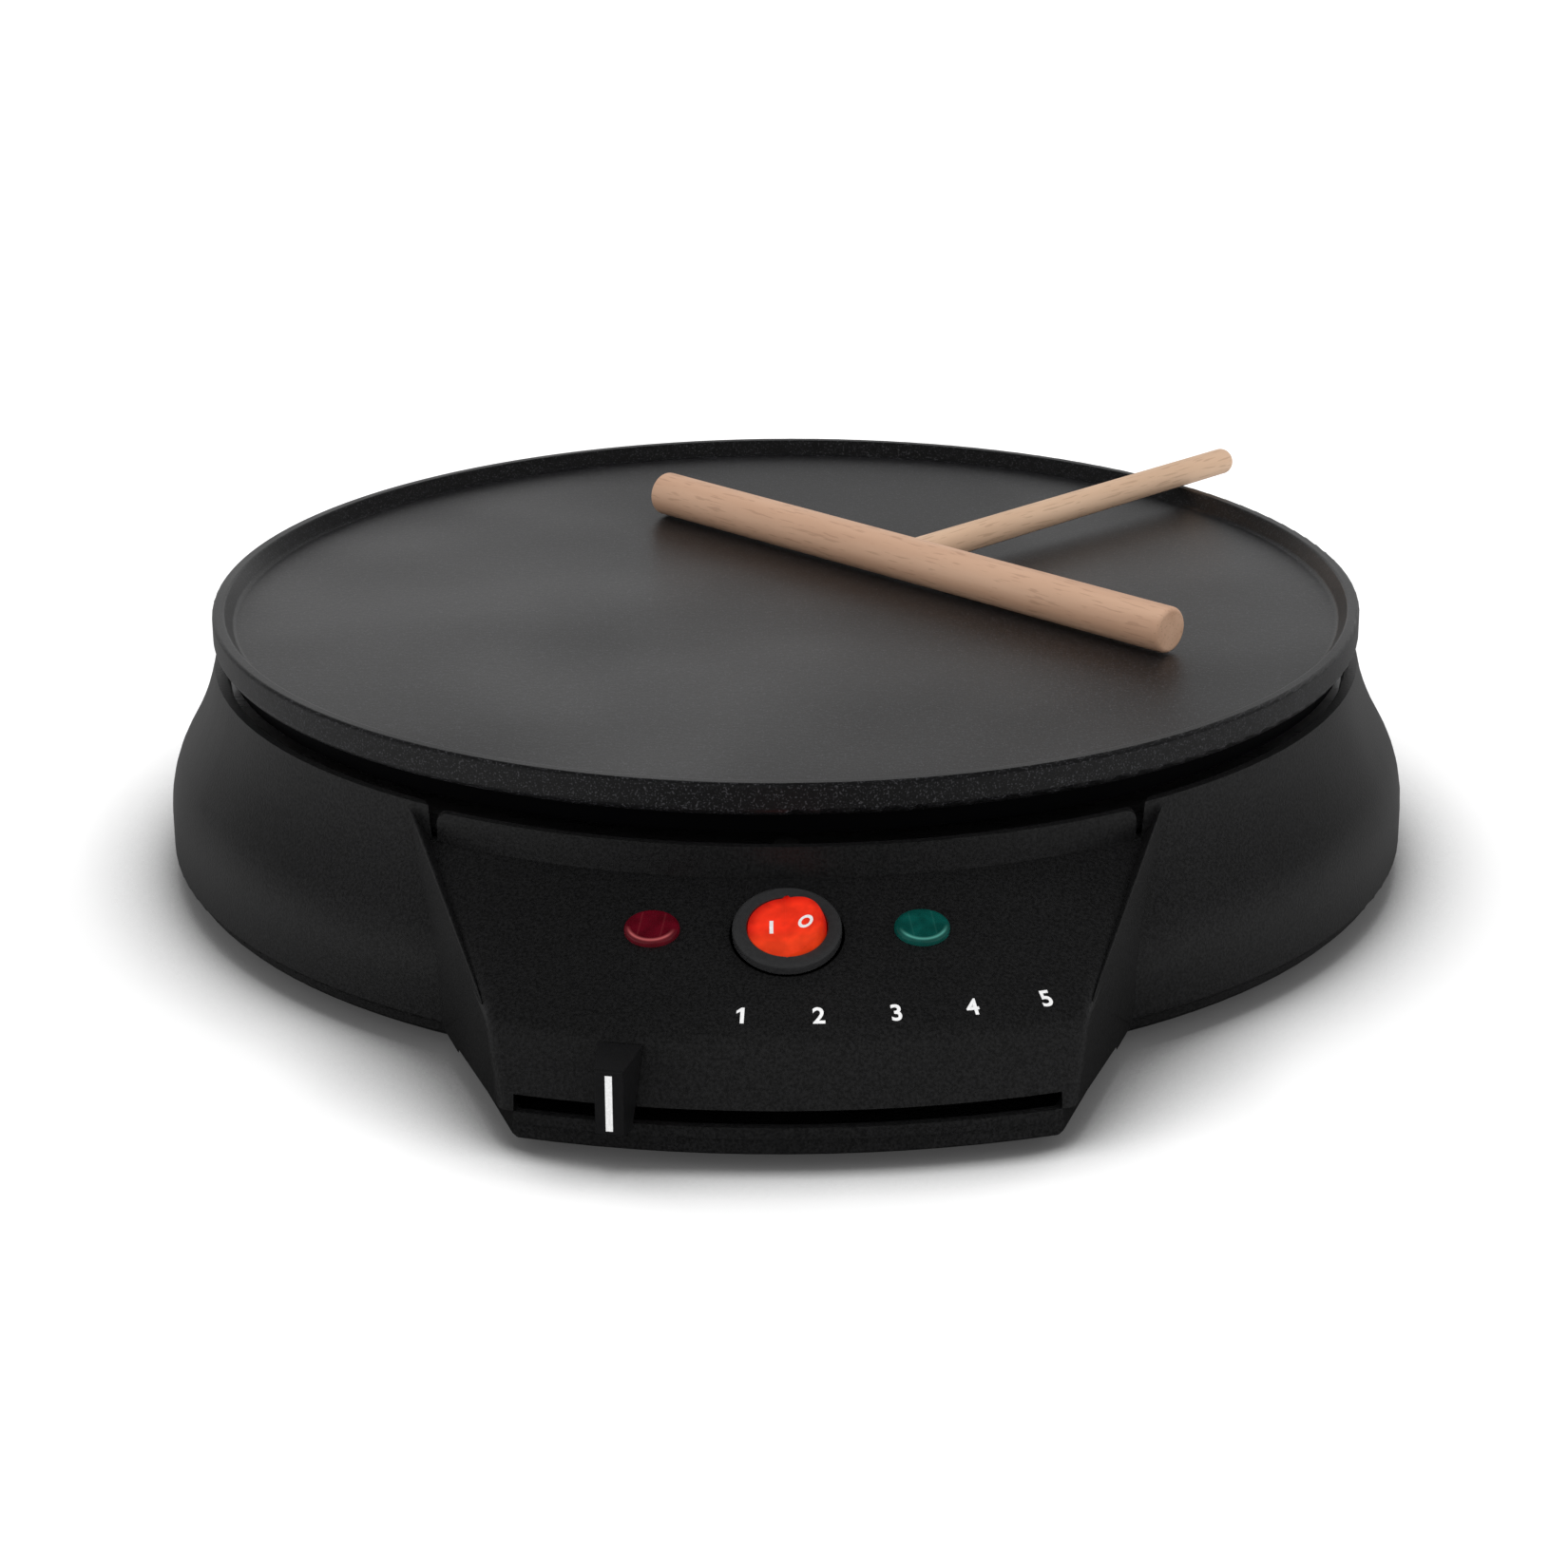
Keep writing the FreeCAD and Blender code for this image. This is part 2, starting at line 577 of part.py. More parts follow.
def cooking_plate():
    """Cast plate with a low rim, recessed skirt and screw bosses."""
    skirt_r = PLATE_R - SKIRT_IN
    skirt_z = PLATE_UNDER_Z - SKIRT_H
    rim_r = PLATE_R - PLATE_LIP_W
    section = [(0, PLATE_UNDER_Z), (skirt_r - SKIRT_W, PLATE_UNDER_Z), (skirt_r - SKIRT_W, skirt_z),
               (skirt_r, skirt_z), (skirt_r, PLATE_UNDER_Z), (PLATE_R, PLATE_UNDER_Z, 2.0),
               (PLATE_R, PLATE_RIM_Z, 0.9), (rim_r, PLATE_RIM_Z, 0.8),
               (rim_r - PLATE_LIP_SLOPE, SURFACE_Z, 1.5), (0, SURFACE_Z)]
    plate = turned_section(section)
    for at in ring_points(BOSS_RING_R, BOSS_COUNT):
        plate = plate.fuse(rod(BOSS_R, PLATE_UNDER_Z - BOSS_H, PLATE_UNDER_Z + 1, at))
    plate = plate.removeSplitter()
    for at in ring_points(BOSS_RING_R, BOSS_COUNT):
        start = PLATE_UNDER_Z - BOSS_H - 1
        plate = plate.cut(rod(PLATE_SCREW_R + SCREW_CLEARANCE, start, start + 2 + PLATE_SCREW_BITE, at))
    return plate


def heater_legs():
    """Plan points where the heater's two ends turn down."""
    half = math.radians(HEATER_OPENING / 2)
    reach = HEATER_BEND_R
    points = []
    for side in (-1, 1):
        x = HEATER_RING_R * math.sin(half) - reach * math.cos(half)
        y = HEATER_RING_R * math.cos(half) + reach * math.sin(half)
        points.append(V(side * x, y, 0))
    return points


def heater_z():
    """Height of the heating tube's centre line."""
    return PLATE_UNDER_Z - TUBE_R - TUBE_GAP


def heating_element():
    """Bent tube under the plate with two downward legs and their pins."""
    z = heater_z()
    start = V(HEATER_RING_R, 0, z)
    disc = Part.Face(Part.Wire(Part.makeCircle(TUBE_R, start, V(0, 1, 0))))
    sweep = 360.0 - HEATER_OPENING
    loop = disc.revolve(V(0, 0, 0), V(0, 0, 1), sweep)
    parts = [loop]
    for turn, angle in ((90.0, 0.0), (-90.0, sweep)):
        way = -1.0 if turn > 0 else 1.0
        bend = disc.revolve(V(HEATER_RING_R, 0, z - HEATER_BEND_R), V(1, 0, 0), turn)
        foot = V(HEATER_RING_R, way * HEATER_BEND_R, 0)
        low = z - HEATER_BEND_R - HEATER_LEG_L
        leg = rod(TUBE_R, low, z - HEATER_BEND_R, foot)
        pin = rod(HEATER_PIN_R, low - HEATER_PIN_L, low + 1, foot)
        for piece in (bend, leg, pin):
            piece.rotate(V(0, 0, 0), V(0, 0, 1), angle)
            parts.append(piece)
    element = fused(parts)
    element.rotate(V(0, 0, 0), V(0, 0, 1), 90.0 + HEATER_OPENING / 2)
    return element


def heater_bushings():
    """Ceramic bushings that carry the heater's legs through the reflector."""
    top = REFLECTOR_FLOOR_Z + REFLECTOR_T
    made = []
    for at in heater_legs():
        body = rod(BUSHING_R, REFLECTOR_FLOOR_Z - BUSHING_BELOW, top + BUSHING_FLANGE_T, at)
        flange = rod(BUSHING_FLANGE_R, top, top + BUSHING_FLANGE_T, at)
        made.append(fused([body, flange]).cut(rod(TUBE_R + 0.1, 0, PLATE_RIM_Z, at)))
    return Part.makeCompound(made)


def heat_reflector():
    """Pressed dish under the heater, its flange resting on the housing ledge."""
    low = REFLECTOR_FLOOR_Z
    inner = REFLECTOR_FLANGE_R - REFLECTOR_FLANGE_W
    floor_r = inner - REFLECTOR_SLOPE_RUN
    section = [(0, low), (floor_r, low), (inner, LEDGE_Z), (REFLECTOR_FLANGE_R, LEDGE_Z),
               (REFLECTOR_FLANGE_R, LEDGE_Z + REFLECTOR_T), (inner - 0.5, LEDGE_Z + REFLECTOR_T),
               (floor_r - 0.5, low + REFLECTOR_T), (0, low + REFLECTOR_T)]
    dish = turned_section(section)
    for at in ring_points(BOSS_RING_R, BOSS_COUNT):
        dish = dish.cut(rod(PLATE_SCREW_R + 0.2, 0, PLATE_RIM_Z, at))
    for at in heater_legs():
        dish = dish.cut(rod(BUSHING_R + 0.1, 0, PLATE_RIM_Z, at))
    for angle in RIVET_ANGLES:
        dish = dish.cut(rod(RIVET_R + 0.2, 0, PLATE_RIM_Z, plan(RIVET_RING_R, angle)))
    for side in (-1, 1):
        at = V(side * BRACKET_RIVET_X, 0, 0)
        dish = dish.cut(rod(RIVET_R + SCREW_CLEARANCE, 0, PLATE_RIM_Z, at))
    return dish


def reflector_screws():
    """Screws holding the reflector's flange on the ledge."""
    made = []
    for angle in RIVET_ANGLES:
        at = plan(RIVET_RING_R, angle)
        seat = LEDGE_Z + REFLECTOR_T
        made.append(fused([rod(RIVET_HEAD_R, seat, seat + RIVET_HEAD_H, at),
                           rod(RIVET_R, LEDGE_Z - RIVET_BOSS_H, seat + 1, at)]))
    return Part.makeCompound(made)


def plate_standoffs():
    """Spacer tubes between reflector and plate bosses."""
    low = REFLECTOR_FLOOR_Z + REFLECTOR_T
    high = PLATE_UNDER_Z - BOSS_H
    return Part.makeCompound([tube(STANDOFF_R, STANDOFF_BORE_R, low, high, at)
                              for at in ring_points(BOSS_RING_R, BOSS_COUNT)])


def plate_screws():
    """Screws from below through reflector and standoffs into the plate."""
    seat = REFLECTOR_FLOOR_Z
    tip = PLATE_UNDER_Z - BOSS_H + PLATE_SCREW_BITE
    made = []
    for at in ring_points(BOSS_RING_R, BOSS_COUNT):
        head = rod(PLATE_SCREW_HEAD_R, seat - PLATE_SCREW_HEAD_H, seat, at)
        made.append(fused([head, rod(PLATE_SCREW_R, seat - 1, tip, at)]))
    return Part.makeCompound(made)


def thermostat_floor():
    """Underside of the thermostat body."""
    return REFLECTOR_FLOOR_Z - BRACKET_T - THERMOSTAT_H


def thermostat_body():
    """Thermostat block with a threaded neck and two blade contacts."""
    low = thermostat_floor()
    box = block(-THERMOSTAT_W / 2, THERMOSTAT_W / 2, -THERMOSTAT_D / 2, THERMOSTAT_D / 2,
                low, low + THERMOSTAT_H)
    upright = [e for e in box.Edges if abs(e.Vertexes[0].Z - e.Vertexes[1].Z) > 1]
    box = box.makeFillet(2.0, upright)
    neck = rod(THERMOSTAT_NECK_R, low - THERMOSTAT_NECK_H, low + 1)
    parts = [box, neck]
    for side in (-1, 1):
        x = side * THERMOSTAT_W / 4
        parts.append(block(x - BLADE_W / 2, x + BLADE_W / 2, THERMOSTAT_D / 2 - 1,
                           THERMOSTAT_D / 2 + BLADE_L, low + 3, low + 3 + BLADE_T))
    body = fused(parts)
    return body.cut(rod(SHAFT_R + SHAFT_CLEARANCE, 0, low + SHAFT_REACH + 0.5))


def thermostat_bracket():
    """Strap that hangs the thermostat under the reflector."""
    top = REFLECTOR_FLOOR_Z
    strap = block(-BRACKET_L / 2, BRACKET_L / 2, -BRACKET_W / 2, BRACKET_W / 2, top - BRACKET_T, top)
    low = thermostat_floor()
    parts = [strap]
    for side in (-1, 1):
        x0 = side * THERMOSTAT_W / 2
        x1 = x0 + side * BRACKET_T
        parts.append(block(min(x0, x1), max(x0, x1), -BRACKET_W / 2, BRACKET_W / 2,
                           low + THERMOSTAT_H / 3, top))
    body = fused(parts)
    for side in (-1, 1):
        body = body.cut(rod(RIVET_R + SCREW_CLEARANCE, 0, PLATE_RIM_Z, V(side * BRACKET_RIVET_X, 0, 0)))
    return body


def bracket_rivets():
    """Rivets between bracket and reflector."""
    made = []
    low = REFLECTOR_FLOOR_Z - BRACKET_T
    high = REFLECTOR_FLOOR_Z + REFLECTOR_T
    for side in (-1, 1):
        at = V(side * BRACKET_RIVET_X, 0, 0)
        made.append(fused([rod(RIVET_R, low - 0.5, high + 0.5, at),
                           rod(RIVET_HEAD_R, low - 1.2, low, at),
                           rod(RIVET_HEAD_R, high, high + 1.2, at)]))
    return Part.makeCompound(made)


def thermostat_shaft():
    """Shaft on the plate's axis, turned by the lever."""
    return rod(SHAFT_R, LEVER_Z, thermostat_floor() + SHAFT_REACH)


def front_wall_r(z):
    """Outer radius of the nose's front wall at a height."""
    return RIDGE_AT_R + (RIDGE_Z - z) * math.tan(LEAN)


def knob_front_r():
    """Radius of the knob's front face."""
    return TRAY_R + KNOB_DEPTH


def slid(shape):
    """Turn a slider piece drawn at the front to its resting place."""
    shape.rotate(V(0, 0, 0), V(0, 0, 1), KNOB_REST_ANGLE)
    return shape


def thermostat_lever():
    """Flat arm from the shaft through the slot to the knob."""
    tip = -(TRAY_R + KNOB_GAP + LEVER_BITE)
    half_root = LEVER_ROOT_W / 2
    half_tip = LEVER_TIP_W / 2
    arm = prism([(-half_root, 0), (-half_tip, tip * 0.94), (-half_tip, tip), (half_tip, tip),
                 (half_tip, tip * 0.94), (half_root, 0)], LEVER_Z, LEVER_Z + LEVER_T)
    hub = rod(LEVER_HUB_R, LEVER_Z, LEVER_Z + LEVER_HUB_H)
    body = fused([arm, hub])
    return slid(body.cut(rod(SHAFT_R + SCREW_CLEARANCE, 0, PLATE_RIM_Z)))


def knob_body():
    """Wedge-shaped knob drawn at the front."""
    front = knob_front_r()
    front_top = KNOB_BOTTOM_Z + KNOB_FRONT_H
    back_top = front_top + KNOB_TOP_RISE
    low_r = TRAY_R + KNOB_GAP
    slot_r = front_wall_r(SLOT_TOP_Z) + KNOB_GAP
    section = [(low_r, KNOB_BOTTOM_Z), (front, KNOB_BOTTOM_Z), (front, front_top),
               (front_wall_r(back_top) + KNOB_GAP, back_top), (slot_r, SLOT_TOP_Z),
               (low_r, COVER_TOP_Z + KNOB_GAP)]
    face = Part.Face(rounded_outline(section))
    slab = face.extrude(V(0, KNOB_BACK_W + 2, 0))
    slab.translate(V(0, -KNOB_BACK_W / 2 - 1, 0))
    slab.rotate(V(0, 0, 0), V(0, 0, 1), -90)
    back = front_wall_r(back_top)
    a = KNOB_BACK_W / 2
    b = KNOB_FRONT_W / 2
    taper = prism([(-a, -back), (-b, -front), (-b, -front - 1), (b, -front - 1), (b, -front),
                   (a, -back)], 0, PLATE_RIM_Z)
    knob = slab.common(taper)
    edges = [e for e in knob.Edges if max(v.Y for v in e.Vertexes) < -front + 0.01]
    return knob.makeFillet(0.6, edges)


def pointer_bar(depth, grow):
    """Bar of the knob's white pointer line, drawn at the front."""
    middle = KNOB_BOTTOM_Z + KNOB_FRONT_H / 2
    front = knob_front_r()
    return block(-POINTER_W / 2 - grow, POINTER_W / 2 + grow, -front - POINTER_PROUD - grow * 20,
                 -front + depth, middle - POINTER_H / 2 - grow, middle + POINTER_H / 2 + grow)


def slider_knob():
    """Knob with a pocket for the lever and a groove for its pointer."""
    pocket = block(-LEVER_TIP_W / 2 - 0.1, LEVER_TIP_W / 2 + 0.1,
                   -(TRAY_R + KNOB_GAP + LEVER_BITE + 0.1), -PLATE_R,
                   LEVER_Z - 0.1, LEVER_Z + LEVER_T + 0.1)
    return slid(knob_body().cut(pocket).cut(pointer_bar(POINTER_DEPTH, SCREW_CLEARANCE)))


def knob_pointer():
    """White pointer line let into the knob."""
    return slid(pointer_bar(POINTER_DEPTH, 0))


def switch_frame():
    """Placement of the round switch on the panel."""
    return panel_frame(0, SWITCH_UP)


def switch_body():
    """Round switch bezel and body in one moulding."""
    bezel = turned_section([(0, 0), (BEZEL_R, 0), (BEZEL_R, BEZEL_H, BEZEL_EDGE_R),
                            (OPENING_R, BEZEL_H, 0.4), (OPENING_R, BEZEL_H / 2), (0, BEZEL_H / 2)])
    body = fused([bezel, rod(SWITCH_BODY_R, -SWITCH_BODY_H, 1)])
    body = body.cut(rod(OPENING_R, -SWITCH_CAVITY_H, BEZEL_H))
    reach = OPENING_R + ROCKER_PIN_REACH + 0.1
    socket = Part.makeCylinder(ROCKER_PIN_R + 0.1, 2 * reach,
                               V(0, -reach, BEZEL_H - ROCKER_PIVOT_DROP), V(0, 1, 0))
    return placed(body.cut(socket), switch_frame())


def switch_rocker():
    """Round rocker with two sloped faces, left side pressed."""
    pivot = V(0, 0, BEZEL_H - ROCKER_PIVOT_DROP)
    radius = OPENING_R - ROCKER_GAP
    ball = Part.makeSphere(radius, pivot)
    base = pivot.z + ROCKER_WAIST
    rise = 2 * radius * math.tan(math.radians(ROCKER_VALLEY))
    high = base + 4 * radius
    outline = [V(0, -2 * radius, base), V(2 * radius, -2 * radius, base + rise),
               V(2 * radius, -2 * radius, high), V(-2 * radius, -2 * radius, high),
               V(-2 * radius, -2 * radius, base + rise)]
    above = Part.Face(Part.makePolygon(outline + outline[:1])).extrude(V(0, 4 * radius, 0))
    below = block(-2 * radius, 2 * radius, -2 * radius, 2 * radius, pivot.z - 4 * radius,
                  pivot.z - ROCKER_FOOT)
    rocker = ball.cut(above).cut(below)
    reach = OPENING_R + ROCKER_PIN_REACH
    pin = Part.makeCylinder(ROCKER_PIN_R, 2 * reach, pivot - V(0, reach, 0), V(0, 1, 0))
    keep = block(-radius, radius, -2 * radius, 2 * radius, pivot.z - radius, base + rise)
    rocker = rocker.fuse(pin.common(keep).cut(above))
    rocker.rotate(pivot, V(0, 1, 0), -ROCKER_TILT)
    return placed(rocker, switch_frame())


def switch_terminals():
    """Blade contacts behind the switch."""
    made = []
    for i in (-1, 0, 1):
        x = i * BLADE_PITCH
        blade = block(x - BLADE_T / 2, x + BLADE_T / 2, -BLADE_W / 2, BLADE_W / 2,
                      -SWITCH_BODY_H - BLADE_L, -SWITCH_BODY_H)
        made.append(placed(blade, switch_frame()))
    return Part.makeCompound(made)


def lamp_frame(side):
    """Placement of a lamp, side -1 left or 1 right."""
    return panel_frame(side * LAMP_ANGLE, LAMP_UP)


def lamp_lens(side):
    """Oval lens with a hollow stem."""
    ellipse = Part.Ellipse(V(0, 0, 0), LENS_HALF_W, LENS_HALF_D).toShape()
    dome = Part.Face(Part.Wire(ellipse)).extrude(V(0, 0, LENS_H))
    top = [e for e in dome.Edges if min(v.Z for v in e.Vertexes) > LENS_H - 0.01]
    dome = dome.makeFillet(LENS_EDGE_R, top)
    lens = fused([dome, rod(LENS_STEM_R, -LENS_STEM_L, 0.5)])
    return placed(lens.cut(rod(LENS_BORE_R, -LENS_STEM_L - 1, LENS_H / 3)), lamp_frame(side))


def neon_lamps():
    """Small glow lamps inside the lens stems."""
    made = []
    radius = LENS_BORE_R - LAMP_GAP
    for side in (-1, 1):
        top = LENS_H / 3 - LAMP_GAP - radius
        bulb = fused([rod(radius, -LENS_STEM_L, top), Part.makeSphere(radius, V(0, 0, top))])
        made.append(placed(bulb, lamp_frame(side)))
    return Part.makeCompound(made)


def lamp_retainers():
    """Push-on rings that hold the lenses behind the panel."""
    made = []
    for side in (-1, 1):
        top = -WALL - 0.1
        ring = tube(RETAINER_R, LENS_STEM_R + SCREW_CLEARANCE, top - RETAINER_T, top)
        made.append(placed(ring, lamp_frame(side)))
    return Part.makeCompound(made)


def gland_face_y():
    """Flat outer face of the pad the cord gland sits on."""
    return HOUSING_R + GLAND_PAD_T


def gland_seat_y():
    """Flat inner face of the same pad."""
    return HOUSING_R - WALL - GLAND_SEAT_T


def cord_gland():
    """Bushing for the supply cord with its flange and inner nut."""
    face = gland_face_y()
    nut_end = gland_seat_y()
    way = V(0, 1, 0)
    flange = Part.makeCylinder(GLAND_FLANGE_R, GLAND_FLANGE_T, V(0, face, GLAND_Z), way)
    rim = [e for e in flange.Edges if abs(e.BoundBox.YMin - face - GLAND_FLANGE_T) < 0.01]
    flange = flange.makeFillet(0.8, rim)
    neck_start = nut_end - GLAND_NUT_T - GLAND_TAIL_L
    neck = Part.makeCylinder(GLAND_NECK_R, face - neck_start + 1, V(0, neck_start, GLAND_Z), way)
    nut = Part.makeCylinder(GLAND_FLANGE_R, GLAND_NUT_T, V(0, nut_end - GLAND_NUT_T, GLAND_Z), way)
    bore = Part.makeCylinder(GLAND_BORE_R, 2 * HOUSING_R, V(0, 0, GLAND_Z), way)
    return fused([flange, neck, nut]).cut(bore)


def terminal_block():
    """Three-way terminal block on the floor."""
    x = 0.0
    y = HOUSING_R - BLOCK_IN
    floor = COVER_Z + COVER_T
    body = block(x - BLOCK_L / 2, x + BLOCK_L / 2, y - BLOCK_W / 2, y + BLOCK_W / 2,
                 floor, floor + BLOCK_H)
    for i in (-1, 0, 1):
        at = V(x + i * BLOCK_L / 3.4, y, 0)
        body = body.cut(rod(2.2, floor + BLOCK_H / 2, PLATE_RIM_Z, at))
        wire = Part.makeCylinder(1.6, BLOCK_W + 2, V(at.x, y - BLOCK_W / 2 - 1, floor + BLOCK_H / 3),
                                 V(0, 1, 0))
        body = body.cut(wire)
    return body


def fuse_z():
    """Height of the thermal fuse's centre line."""
    return REFLECTOR_FLOOR_Z - CLIP_T - FUSE_R


def thermal_fuse():
    """Thermal fuse lying under the reflector."""
    x, y = FUSE_AT
    z = fuse_z()
    can = Part.makeCylinder(FUSE_R, FUSE_L, V(x - FUSE_L / 2, y, z), V(1, 0, 0))
    reach = FUSE_L / 2 + FUSE_LEAD_L
    leads = Part.makeCylinder(FUSE_LEAD_R, 2 * reach, V(x - reach, y, z), V(1, 0, 0))
    return fused([can, leads])


def fuse_clip():
    """Strap that holds the thermal fuse against the reflector."""
    x, y = FUSE_AT
    z = fuse_z()
    outer = FUSE_R + CLIP_T
    hoop = Part.makeCylinder(outer, CLIP_W, V(x - CLIP_W / 2, y, z), V(1, 0, 0))
    top = REFLECTOR_FLOOR_Z
    foot = block(x - CLIP_W / 2, x + CLIP_W / 2, y - 3 * outer, y + 3 * outer, top - CLIP_T, top)
    body = fused([hoop.cut(block(x - CLIP_W, x + CLIP_W, y - 9, y + 9, top, top + 9)), foot])
    return body.cut(Part.makeCylinder(FUSE_R, CLIP_W + 2, V(x - CLIP_W / 2 - 1, y, z), V(1, 0, 0)))


def bar_cylinder(radius, length):
    """Cylinder along the spreader bar's axis."""
    turn = math.radians(BAR_ANGLE)
    way = V(math.cos(turn), math.sin(turn), 0)
    start = V(BAR_AT[0], BAR_AT[1], BAR_Z) - way * (length / 2)
    return Part.makeCylinder(radius, length, start, way)


def handle_rest():
    """Distance from the bar to where the handle crosses the plate's rim."""
    turn = math.radians(HANDLE_ANGLE)
    along = BAR_AT[0] * math.cos(turn) + BAR_AT[1] * math.sin(turn)
    off = BAR_AT[0] ** 2 + BAR_AT[1] ** 2
    rim = PLATE_R - PLATE_LIP_W / 2
    return math.sqrt(along ** 2 - off + rim ** 2) - along


def handle_frame():
    """Placement along the handle: Z runs from the bar to the free end."""
    rest = handle_rest()
    tip_share = rest / HANDLE_L
    radius = HANDLE_ROOT_R + (HANDLE_TIP_R - HANDLE_ROOT_R) * tip_share
    climb = PLATE_RIM_Z + REST_GAP + radius + 0.2 - BAR_Z
    turn = math.radians(HANDLE_ANGLE)
    way = V(rest * math.cos(turn), rest * math.sin(turn), climb)
    rotation = FreeCAD.Rotation(V(0, 0, 1), way)
    return FreeCAD.Placement(V(BAR_AT[0], BAR_AT[1], BAR_Z), rotation)


def spreader_bar():
    """Round wooden bar with a hole for the handle."""
    bar = bar_cylinder(BAR_R, BAR_L)
    bar = bar.makeFillet(BAR_EDGE_R, [e for e in bar.Edges if e.Closed])
    hole = rod(TENON_R + TENON_GAP, -TENON_L + 3, 4 * BAR_R)
    return bar.cut(placed(hole, handle_frame()))


def spreader_handle():
    """Wooden handle, coped to the bar, with a tenon and a rounded end."""
    section = [(0, BAR_R / 2), (HANDLE_ROOT_R, BAR_R / 2), (HANDLE_TIP_R, HANDLE_L, HANDLE_TIP_R * 0.8),
               (0, HANDLE_L)]
    stick = placed(turned_section(section), handle_frame())
    stick = stick.cut(bar_cylinder(BAR_R + SCREW_CLEARANCE, BAR_L))
    tenon = placed(rod(TENON_R, 0, 2 * BAR_R), handle_frame())
    return fused([stick, tenon])


def nodes():
    """Every named piece, drawn about the plate's axis."""
    return {
        "bottom_cover": bottom_cover(),
        "rubber_feet": rubber_feet(),
        "case_screws": case_screws(),
        "upper_housing": upper_housing(),
        "cooking_plate": cooking_plate(),
        "heating_element": heating_element(),
        "heater_bushings": heater_bushings(),
        "heat_reflector": heat_reflector(),
        "reflector_screws": reflector_screws(),
        "plate_standoffs": plate_standoffs(),
        "plate_screws": plate_screws(),
        "thermostat_body": thermostat_body(),
        "thermostat_bracket": thermostat_bracket(),
        "bracket_rivets": bracket_rivets(),
        "thermostat_shaft": thermostat_shaft(),
        "thermostat_lever": thermostat_lever(),
        "slider_knob": slider_knob(),
        "knob_pointer": knob_pointer(),
        "switch_body": switch_body(),
        "switch_rocker": switch_rocker(),
        "switch_terminals": switch_terminals(),
        "power_lamp_lens": lamp_lens(-1),
        "ready_lamp_lens": lamp_lens(1),
        "neon_lamps": neon_lamps(),
        "lamp_retainers": lamp_retainers(),
        "cord_gland": cord_gland(),
        "terminal_block": terminal_block(),
        "thermal_fuse": thermal_fuse(),
        "fuse_clip": fuse_clip(),
        "spreader_bar": spreader_bar(),
        "spreader_handle": spreader_handle(),
    }


def front_reach():
    """Furthest point of the resting knob in front of the plate's axis."""
    turn = math.radians(abs(KNOB_REST_ANGLE))
    reach = (knob_front_r() + POINTER_PROUD) * math.cos(turn) + POINTER_W / 2 * math.sin(turn)
    corner = knob_front_r() * math.cos(turn) + (KNOB_FRONT_W / 2 - 0.4) * math.sin(turn)
    return max(reach, corner)


# The plate's axis stands behind the middle of the whole outline by this much.
AXIS_Y = (front_reach() - gland_face_y() - GLAND_FLANGE_T) / 2

for name, shape in nodes().items():
    shape.translate(V(0, AXIS_Y, 0))
    shape.exportStep("parts/" + name + ".step")
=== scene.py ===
"""Looks of a round electric crepe maker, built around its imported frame."""

import json
import logging
import math
from dataclasses import dataclass, replace
from enum import Enum
from itertools import combinations

import bmesh
import bpy
from mathutils import Matrix, Vector


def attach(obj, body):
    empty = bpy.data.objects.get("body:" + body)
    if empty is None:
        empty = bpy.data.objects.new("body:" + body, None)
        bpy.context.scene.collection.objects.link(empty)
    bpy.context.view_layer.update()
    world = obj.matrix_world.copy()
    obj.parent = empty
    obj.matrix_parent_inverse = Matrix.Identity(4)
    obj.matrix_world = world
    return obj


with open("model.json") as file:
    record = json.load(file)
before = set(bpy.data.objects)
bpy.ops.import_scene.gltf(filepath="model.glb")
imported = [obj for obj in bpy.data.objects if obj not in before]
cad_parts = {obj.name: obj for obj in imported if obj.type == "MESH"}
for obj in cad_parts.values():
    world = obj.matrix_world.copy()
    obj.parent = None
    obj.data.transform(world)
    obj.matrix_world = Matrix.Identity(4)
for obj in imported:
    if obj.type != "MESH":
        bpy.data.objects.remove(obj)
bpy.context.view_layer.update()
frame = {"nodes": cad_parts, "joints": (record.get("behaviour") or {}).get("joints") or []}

LOG = logging.getLogger("crepe_maker")
# One millimetre in the scene's metres.
MM = 0.001
Colour = tuple[float, float, float]
# Metres up the panel's slope from its ridge to the middle of the switch and of the lamps.
SWITCH_UP = 0.0296
LAMP_UP = 0.0294
# Degrees in plan from the middle of the panel to each lamp.
LAMP_ANGLE = 10.3
# Metres by which the strokes of the numbers are fattened.
NUMBER_WEIGHT = 0.00012
# Degrees in plan by which the two spreader pieces, and so their grain, are turned.
BAR_TURN = -44.5
HANDLE_TURN = 42.4


def hinge_axis_y() -> float:
    """Depth of the plate's upright axis, read from the slider's hinge.

    Returns:
        The Y of the axis in metres.
    """
    for joint in frame["joints"]:
        if joint["name"] == "temperature_slider":
            return joint["pos_m"][1]
    return 0.0


AXIS_Y = hinge_axis_y()


class Noise(Enum):
    """How a noise field is stretched."""

    EVEN = (1.0, 1.0, 1.0)
    ALONG_X = (0.06, 1.0, 1.0)
    ALONG_Z = (1.0, 1.0, 0.06)
    LONG_FIBRE = (0.09, 1.0, 1.0)


